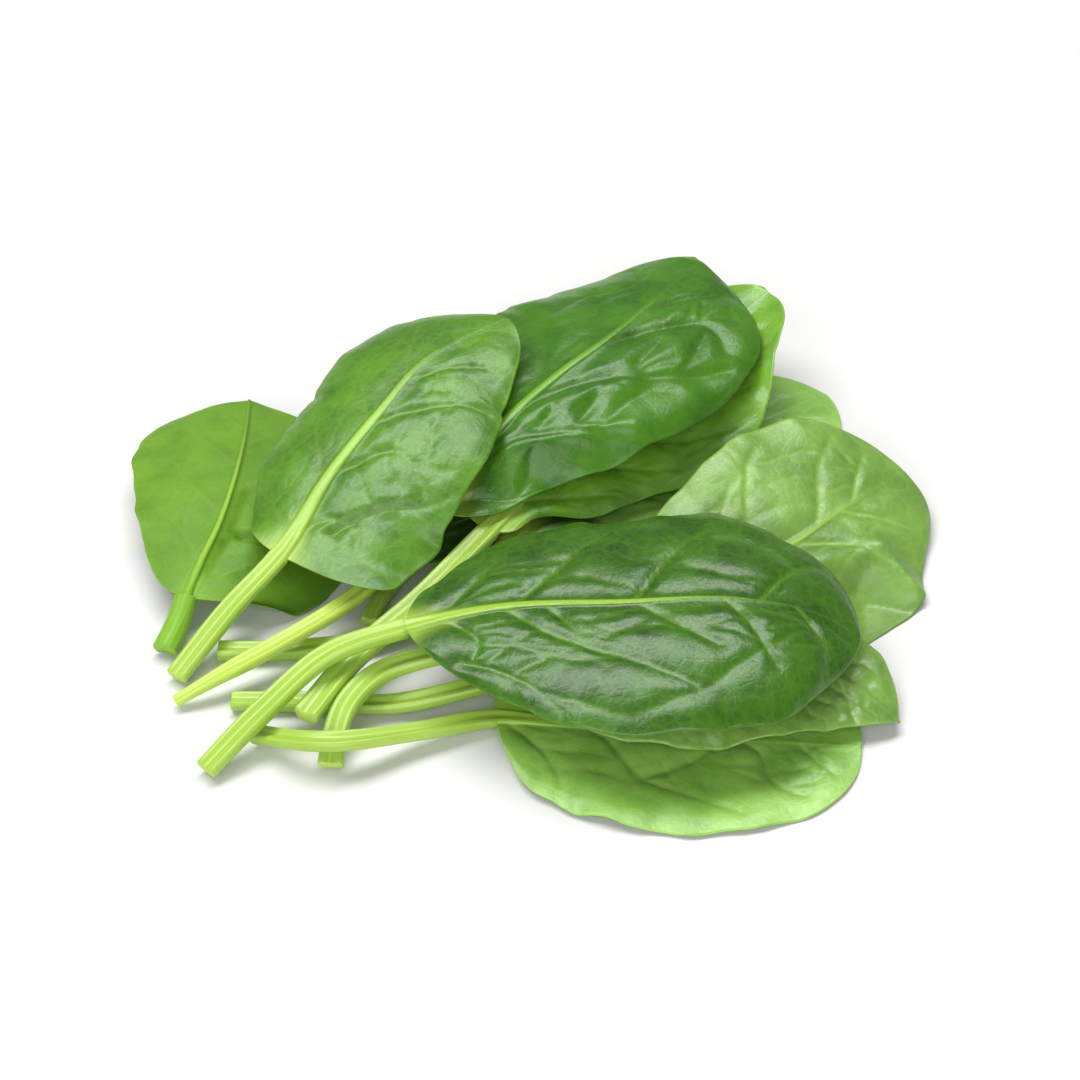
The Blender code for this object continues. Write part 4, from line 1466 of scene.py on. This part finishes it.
def bunch_leaves() -> list[Leaf]:
    """The eleven leaves, from the lowest up."""
    return [
        Leaf(
            name="leaf_lowest",
            finish=LOW_LEAF_PAINTED_LIGHT,
            route=[(-64.5, -57, 2.5), (-47, -66, 8.9), (-27, -58.5, 5), (-10.5, -52.5, 3),
                   (4.5, -53, 2), (25, -55.5, 1.5), (47.5, -57.5, 0.6), (73, -59.5, 0.2)],
            stalk=61, width=62, radius=2.7, outline=(0.42, 0.42),
            left=(2, -3), right=(2, -3), wave=(0.5, 2.5, 0.5), seed=3,
            veins=veins(
                Half.LEFT, ((0.06, 0), (0.16, 9), (0.25, 20)), ((0.24, 0), (0.36, 10), (0.46, 22)),
                ((0.44, 0), (0.56, 10), (0.65, 20)), ((0.62, 0), (0.74, 9), (0.82, 17)), weight=0.8,
            ) + veins(
                Half.RIGHT, ((0.02, 1), (0.15, 11), (0.2, 20)),
                ((0.22, 0), (0.3, 3), (0.43, 16), (0.57, 20), (0.68, 24)),
                ((0.42, 15), (0.52, 10), (0.6, 4)), ((0.66, 0), (0.72, 3), (0.77, 14), (0.85, 17)),
                ((0.83, 0), (0.88, 6), (0.93, 10)),
            ),
        ),
        Leaf(
            name="leaf_right",
            finish=FRESH_LEAF,
            route=[(-71, -46, 2.5), (-47, -46.5, 2.5), (-34, -47.5, 3), (-19.5, -46, 5.5), (0, -39.5, 7.5),
                   (16.5, -27, 8), (38, -15, 8.5), (61.5, 0.5, 11.3), (74, 13, 11.4), (83, 22, 10.2),
                   (90.5, 31.5, 8)],
            stalk=92, width=60, radius=2.7, outline=(0.6, 0.42), halves=(1.0, 1.02), skew=(-0.1, 0),
            dents=((1, 0.92, 0.16, 0.22), (1, 0.6, 0.15, -0.1)),
            left=(3, -4), right=(3, -10), roll=(0, 2, 20, 22), wave=(0.8, 2.5, 1.5), seed=5,
            folds=(
                Fold(Half.RIGHT, (0.72, 14), (0.7, 27), 4.0, 2.5),
                Fold(Half.RIGHT, (0.55, 8), (0.66, 12), 4.0, 1.5),
                Fold(Half.RIGHT, (0.6, 19), (0.6, 30), 4.5, -4.0),
            ),
            veins=veins(
                Half.LEFT, ((0.2, 0), (0.26, 10), (0.32, 20)),
                ((0.35, 0), (0.41, 12), (0.46, 17), (0.52, 21)),
                ((0.44, 0), (0.49, 11), (0.6, 22), (0.68, 25)),
                ((0.64, 0), (0.69, 4), (0.78, 13), (0.88, 17)),
                ((0.78, 0), (0.86, 6), (0.93, 9)),
            ) + veins(
                Half.RIGHT, ((0.18, 0), (0.26, 10), (0.31, 18)), ((0.36, 0), (0.45, 9), (0.5, 18)),
                ((0.54, 0), (0.64, 7), (0.68, 12), (0.7, 19)), ((0.72, 0), (0.81, 8), (0.86, 14)),
            ),
        ),
        Leaf(
            name="leaf_back_right",
            finish=LOW_LEAF_PAINTED_LIGHT,
            route=[(-75.5, -29, 2.7), (-56.5, -28.5, 2.7), (-37.5, -24.5, 3), (-24, -11.5, 4), (-12, 6, 4.5),
                   (5, 23, 4), (25, 37, 3.3), (51.5, 56.5, 1.8), (74, 73, 0.4)],
            stalk=90, width=58, radius=2.8, outline=(0.5, 0.5),
            left=(2, -10), right=(4, -8), wave=(0.6, 2, 0), seed=8,
        ),
        Leaf(
            name="leaf_under_front",
            finish=FRESH_LEAF,
            route=[(-47, -67.5, 2.7), (-44, -53.5, 8), (-36.5, -44, 9.5), (-25, -40.5, 11.5),
                   (-4.5, -37.5, 13), (23, -38.5, 14.5), (50.5, -40.5, 13), (70, -46, 8), (82, -53.5, 2.5)],
            stalk=60, width=58, radius=3.1, outline=(0.55, 0.8),
            left=(0, -9), right=(0, -30), curl=(0, 25), wave=(1.0, 3, 0), seed=9,
            relief=Relief(puff=0.9, cell=0.55, ruffle=0.9, crumple=0.5), cell=5.0,
        ),
        Leaf(
            name="leaf_front",
            finish=DARK_LEAF,
            route=[(-75, -69, 2.7), (-63, -57, 9.2), (-48, -43, 14.5), (-31, -39.5, 19), (-9, -37, 23),
                   (18, -37.5, 25), (45.5, -36.5, 25), (64, -36.5, 20), (73.5, -38, 14)],
            stalk=58, width=76, radius=3.1, outline=(0.62, 0.48),
            left=(4, -22), right=(4, -26), wave=(0.8, 2, 0), rib_fall=0.3, seed=11,
            relief=Relief(puff=1.4, panel=3.4, furrow=0.45, cell=0.12),
            veins=veins(
                Half.LEFT, ((0.06, 0), (0.14, 8), (0.2, 17)), ((0.23, 0), (0.31, 10), (0.38, 22), (0.43, 28)),
                ((0.49, 0), (0.55, 11), (0.61, 20), (0.67, 27)), ((0.76, 0), (0.84, 13), (0.89, 18)),
            ) + veins(
                Half.RIGHT, ((0.07, 0), (0.12, 5), (0.15, 11), (0.12, 15)),
                ((0.21, 0), (0.31, 9.5), (0.39, 14), (0.48, 18.5), (0.6, 26)),
                ((0.3, 0), (0.36, 8), (0.39, 13.5)), ((0.5, 0), (0.58, 9), (0.66, 15)),
                ((0.68, 0), (0.71, 4), (0.74, 10), (0.78, 19)), ((0.84, 0), (0.9, 8), (0.93, 12)),
            ) + veins(Half.RIGHT, ((0.1, 14), (0.18, 18.5), (0.28, 25), (0.34, 31)), weight=0.7),
        ),
        Leaf(
            name="leaf_under_top",
            finish=SHADED_LEAF_PAINTED_LIGHT,
            route=[(-53, -56.5, 7.8), (-43.5, -40, 9.5), (-28, -20, 11), (-12, 3, 13.2), (5, 30.5, 14.9),
                   (25.5, 51, 16), (41, 69.5, 18), (59.5, 87.5, 23)],
            stalk=72, width=60, radius=3.3, outline=(0.5, 0.55),
            dents=((1, 0.08, 0.1, 0.6), (1, 0.3, 0.18, 0.22)),
            left=(6, -20), right=(-8, -30), curl=(0, 75), wave=(1.0, 2.5, 0), seed=14,
            relief=Relief(puff=1.5, panel=3.0, furrow=0.5), laterals=(6, 46.0, 10.0),
        ),
        Leaf(
            name="leaf_top",
            finish=TOP_LEAF,
            route=[(-84, -46, 2.2), (-73.5, -41, 6), (-62.5, -34, 8), (-41.5, -13.5, 8.5), (-25, 4.5, 16),
                   (-9.5, 26, 26.5), (5, 43, 30), (17, 56, 31), (29.5, 74, 30), (42, 95.5, 27)],
            stalk=82, width=68, radius=2.5, outline=(0.45, 0.48), skew=(0, -0.35),
            dents=((1, 0.12, 0.16, 0.22), (1, 0.44, 0.12, 0.08), (-1, 0.62, 0.25, -0.1)),
            left=(-2, -28), right=(-2, -28), wave=(1.2, 2.5, 0), seed=17, foot=0.62,
            relief=Relief(puff=2.2, panel=4.6, furrow=0.4, cell=0.1, halves=(0.6, 1.0)),
            folds=(
                Fold(Half.RIGHT, (0.2, 5), (0.42, 25), 3.2, 1.6),
                Fold(Half.RIGHT, (0.1, 12), (0.34, 26), 6.0, -2.6),
                Fold(Half.RIGHT, (0.28, 3), (0.52, 14), 3.2, 1.2),
            ),
            veins=veins(
                Half.LEFT, ((0.05, 0), (0.13, 8), (0.18, 18)), ((0.2, 0), (0.3, 9), (0.36, 18), (0.4, 26)),
                ((0.36, 0), (0.48, 10), (0.55, 20), (0.6, 28)),
                ((0.54, 0), (0.66, 9), (0.74, 19), (0.78, 25)),
                ((0.72, 0), (0.82, 7), (0.9, 14)), weight=0.8,
            ) + veins(
                Half.RIGHT, ((0.03, 0), (0.08, 9), (0.13, 18)),
                ((0.13, 0), (0.2, 4), (0.3, 13), (0.37, 21), (0.42, 27)),
                ((0.3, 0), (0.45, 7), (0.55, 15), (0.64, 24), (0.7, 28)),
                ((0.56, 0), (0.69, 7), (0.78, 15), (0.77, 20), (0.74, 24)),
                ((0.74, 0), (0.85, 7), (0.92, 12)),
                weight=1.05,
            ),
        ),
        Leaf(
            name="leaf_left",
            finish=LIGHT_LEAF,
            route=[(-88, -29, 2.4), (-85.5, -21.5, 4.5), (-83.5, -14, 7.5), (-81, -6, 10), (-77.5, 5, 12.5),
                   (-75, 21, 13.5), (-74, 40, 12), (-74.5, 59.5, 8.5)],
            stalk=15, width=67, radius=3.2, outline=(0.5, 0.28), halves=(1.3, 0.8), skew=(0, -0.15),
            dents=((-1, 0.08, 0.1, -0.3),), rib_fall=0.12,
            left=(14, 40), right=(0, 16), roll=(180, 180, 180, 180), wave=(0.6, 2, 0), seed=20,
            relief=Relief(puff=0.25, cell=0.0, furrow=0.08, ruffle=0.2, crumple=0.3),
            laterals=(4, 45.0, 12.0),
            folds=(
                Fold(Half.LEFT, (0.285, 6), (0.3, 11), 1.3, 2.2),
                Fold(Half.LEFT, (0.12, 3), (0.45, 5), 3.0, 1.0),
            ),
        ),
        Leaf(
            name="leaf_centre_left",
            finish=MILD_LEAF,
            route=[(-84.5, -38, 2.6), (-73, -22, 9.2), (-60.5, -7, 15.5), (-50.5, 10, 24), (-39, 25.5, 31),
                   (-28.5, 41.5, 34.5), (-8.5, 57.5, 36)],
            stalk=39, width=66, radius=3.0, outline=(0.33, 0.42), halves=(0.76, 1.05), skew=(-0.4, 0.45),
            dents=((1, 0.46, 0.28, 0.14), (1, 0.03, 0.04, -0.2)),
            left=(0, -35), right=(0, -18), wave=(0.9, 2, 0), seed=23,
            relief=Relief(puff=1.1, panel=2.6, furrow=0.5, cell=0.28, halves=(0.3, 1.0)),
            folds=(
                Fold(Half.RIGHT, (0.02, 24), (0.2, 34), 5.0, -1.2),
                Fold(Half.RIGHT, (0.1, 4), (0.3, 20), 3.0, 0.8),
            ),
            veins=veins(
                Half.LEFT, ((0.06, 0), (0.13, 9), (0.18, 18)), ((0.24, 0), (0.34, 9), (0.42, 18)),
                ((0.44, 0), (0.56, 9), (0.65, 17)), ((0.63, 0), (0.74, 7), (0.82, 13)), weight=0.7,
            ) + veins(
                Half.RIGHT, ((0.05, 0), (0.13, 5), (0.15, 11), (0.1, 16)),
                ((0.12, 9), (0.25, 18.5), (0.31, 25), (0.37, 29)),
                ((0.27, 0), (0.34, 5), (0.41, 10), (0.41, 18), (0.44, 25)),
                ((0.45, 0), (0.55, 8), (0.62, 16), (0.66, 23)),
                ((0.62, 0), (0.73, 6), (0.82, 12)),
            ),
        ),
        Leaf(
            name="leaf_back",
            finish=BACK_LEAF_PAINTED_SHADE,
            route=[(-20, -18, 5), (-12, -3.5, 7.2), (-2.5, 15, 8.5), (10, 45.5, 9), (26, 73.5, 9),
                   (40.5, 105.5, 5)],
            stalk=30, width=48, radius=2.4,
            left=(0, -20), right=(0, -15), wave=(0.8, 2, 0), seed=26, detail=0.7,
        ),
        Leaf(
            name="leaf_small",
            finish=DARK_LEAF,
            route=[(-40.5, -18.5, 2.3), (-37.5, -8.5, 2.3), (-29, 8, 2.3), (-20.5, 27, 2.2), (-17, 44, 1.5)],
            stalk=24, width=24, radius=2.4,
            left=(0, -8), right=(0, -8), wave=(0.4, 2, 0), seed=29, detail=0.5,
            relief=Relief(puff=0.4, cell=0.15, ruffle=0.2, crumple=0.2),
        ),
    ]


@dataclass
class Studio:
    """A pale floor, soft light from above and the camera.

    Attributes:
        aim: the point that the camera looks at, in mm before the bunch is centred.
        elevation: the camera's height over the surface, in degrees; distance: in mm.
        frame_width: what the image's width shows at the aim, in mm.
        sensor: the camera's sensor width, in mm.
        floor_side: side of the square floor, in metres; floor_colour: its colour.
        sky: strength of the even light from all around.
    """

    aim: tuple[float, float, float] = (0.0, 0.0, 12.0)
    elevation: float = 40.0
    distance: float = 700.0
    frame_width: float = 259.2
    sensor: float = 36.0
    floor_side: float = 6.0
    floor_colour: tuple[float, float, float, float] = (0.76, 0.76, 0.75, 1.0)
    sky: float = 0.2

    def build(self) -> None:
        """Makes camera, light, world and floor."""
        self._camera()
        self._floor()
        self._area("overhead_softbox", (-0.2, 0.4, 1.3), (0.0, 0.0, 0.0), (1.7, 0.6), 23.0)
        self._area("front_fill", (-0.2, -1.5, 0.9), (0.0, 0.0, 0.0), (2.4, 1.2), 25.0)
        world = bpy.context.scene.world or bpy.data.worlds.new("studio")
        bpy.context.scene.world = world
        world.use_nodes = True
        sky = world.node_tree.nodes["Background"]
        sky.inputs["Color"].default_value = (1.0, 1.0, 1.0, 1.0)
        sky.inputs["Strength"].default_value = self.sky
        bpy.context.scene.view_settings.view_transform = "Standard"
        bpy.context.scene.view_settings.look = "None"

    def _camera(self) -> None:
        """The camera, level from side to side, at the photograph's height and scale."""
        data = bpy.data.cameras.new("camera")
        data.sensor_width = self.sensor
        data.lens = self.sensor * self.distance / self.frame_width
        data.clip_end = 20.0
        camera = bpy.data.objects.new("camera", data)
        rise = math.radians(self.elevation)
        x = (self.aim[0] - FOOTPRINT_CENTRE[0]) * MM
        y = (self.aim[1] - FOOTPRINT_CENTRE[1] - self.distance * math.cos(rise)) * MM
        z = (self.aim[2] + self.distance * math.sin(rise)) * MM
        camera.location = (x, y, z)
        camera.rotation_euler = (0.5 * math.pi - rise, 0.0, 0.0)
        bpy.context.scene.collection.objects.link(camera)
        bpy.context.scene.camera = camera

    def _area(self, name: str, place: tuple[float, float, float], target: tuple[float, float, float],
              size: tuple[float, float], power: float) -> None:
        """A soft rectangular light that faces a target.

        Args:
            name: the light's name.
            place, target: where it stands and what it faces, in metres.
            size: its sides in metres.
            power: its power in watts.
        """
        data = bpy.data.lights.new(name, "AREA")
        data.shape = "RECTANGLE"
        data.size, data.size_y = size
        data.energy = power
        light = bpy.data.objects.new(name, data)
        light.location = place
        way = np.subtract(target, place)
        light.rotation_euler = (math.atan2(math.hypot(way[0], way[1]), -way[2]), 0.0,
                                math.atan2(way[1], way[0]) - 0.5 * math.pi)
        bpy.context.scene.collection.objects.link(light)

    def _floor(self) -> None:
        """A plain pale floor."""
        half = 0.5 * self.floor_side
        mesh = bpy.data.meshes.new("floor")
        corners = [(-half, -half, 0.0), (half, -half, 0.0), (half, half, 0.0), (-half, half, 0.0)]
        mesh.from_pydata(corners, [], [(0, 1, 2, 3)])
        floor = bpy.data.objects.new("floor", mesh)
        bpy.context.scene.collection.objects.link(floor)
        made = bpy.data.materials.new("pale_floor")
        made.use_nodes = True
        shader = made.node_tree.nodes["Principled BSDF"]
        shader.inputs["Base Color"].default_value = self.floor_colour
        shader.inputs["Roughness"].default_value = 0.6
        shader.inputs["Specular IOR Level"].default_value = 0.2
        mesh.materials.append(made)


@dataclass
class Bunch:
    """All leaves of the bunch, each in place of its solid."""

    leaves: list[Leaf]

    def build(self) -> None:
        """Makes every leaf, fixes it to the bunch and reports it."""
        for leaf in self.leaves:
            piece = leaf.build()
            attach(piece, "root")
            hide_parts(leaf.name)
            piece.data.calc_loop_triangles()
            LOG.info("%s: %d triangles", piece.name, len(piece.data.loop_triangles))


def main() -> None:
    """Loads the frame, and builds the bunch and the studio."""
    logging.basicConfig(level=logging.INFO, format="%(name)s: %(message)s")
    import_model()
    Studio().build()
    Bunch(bunch_leaves()).build()


if __name__ == "__main__":
    main()
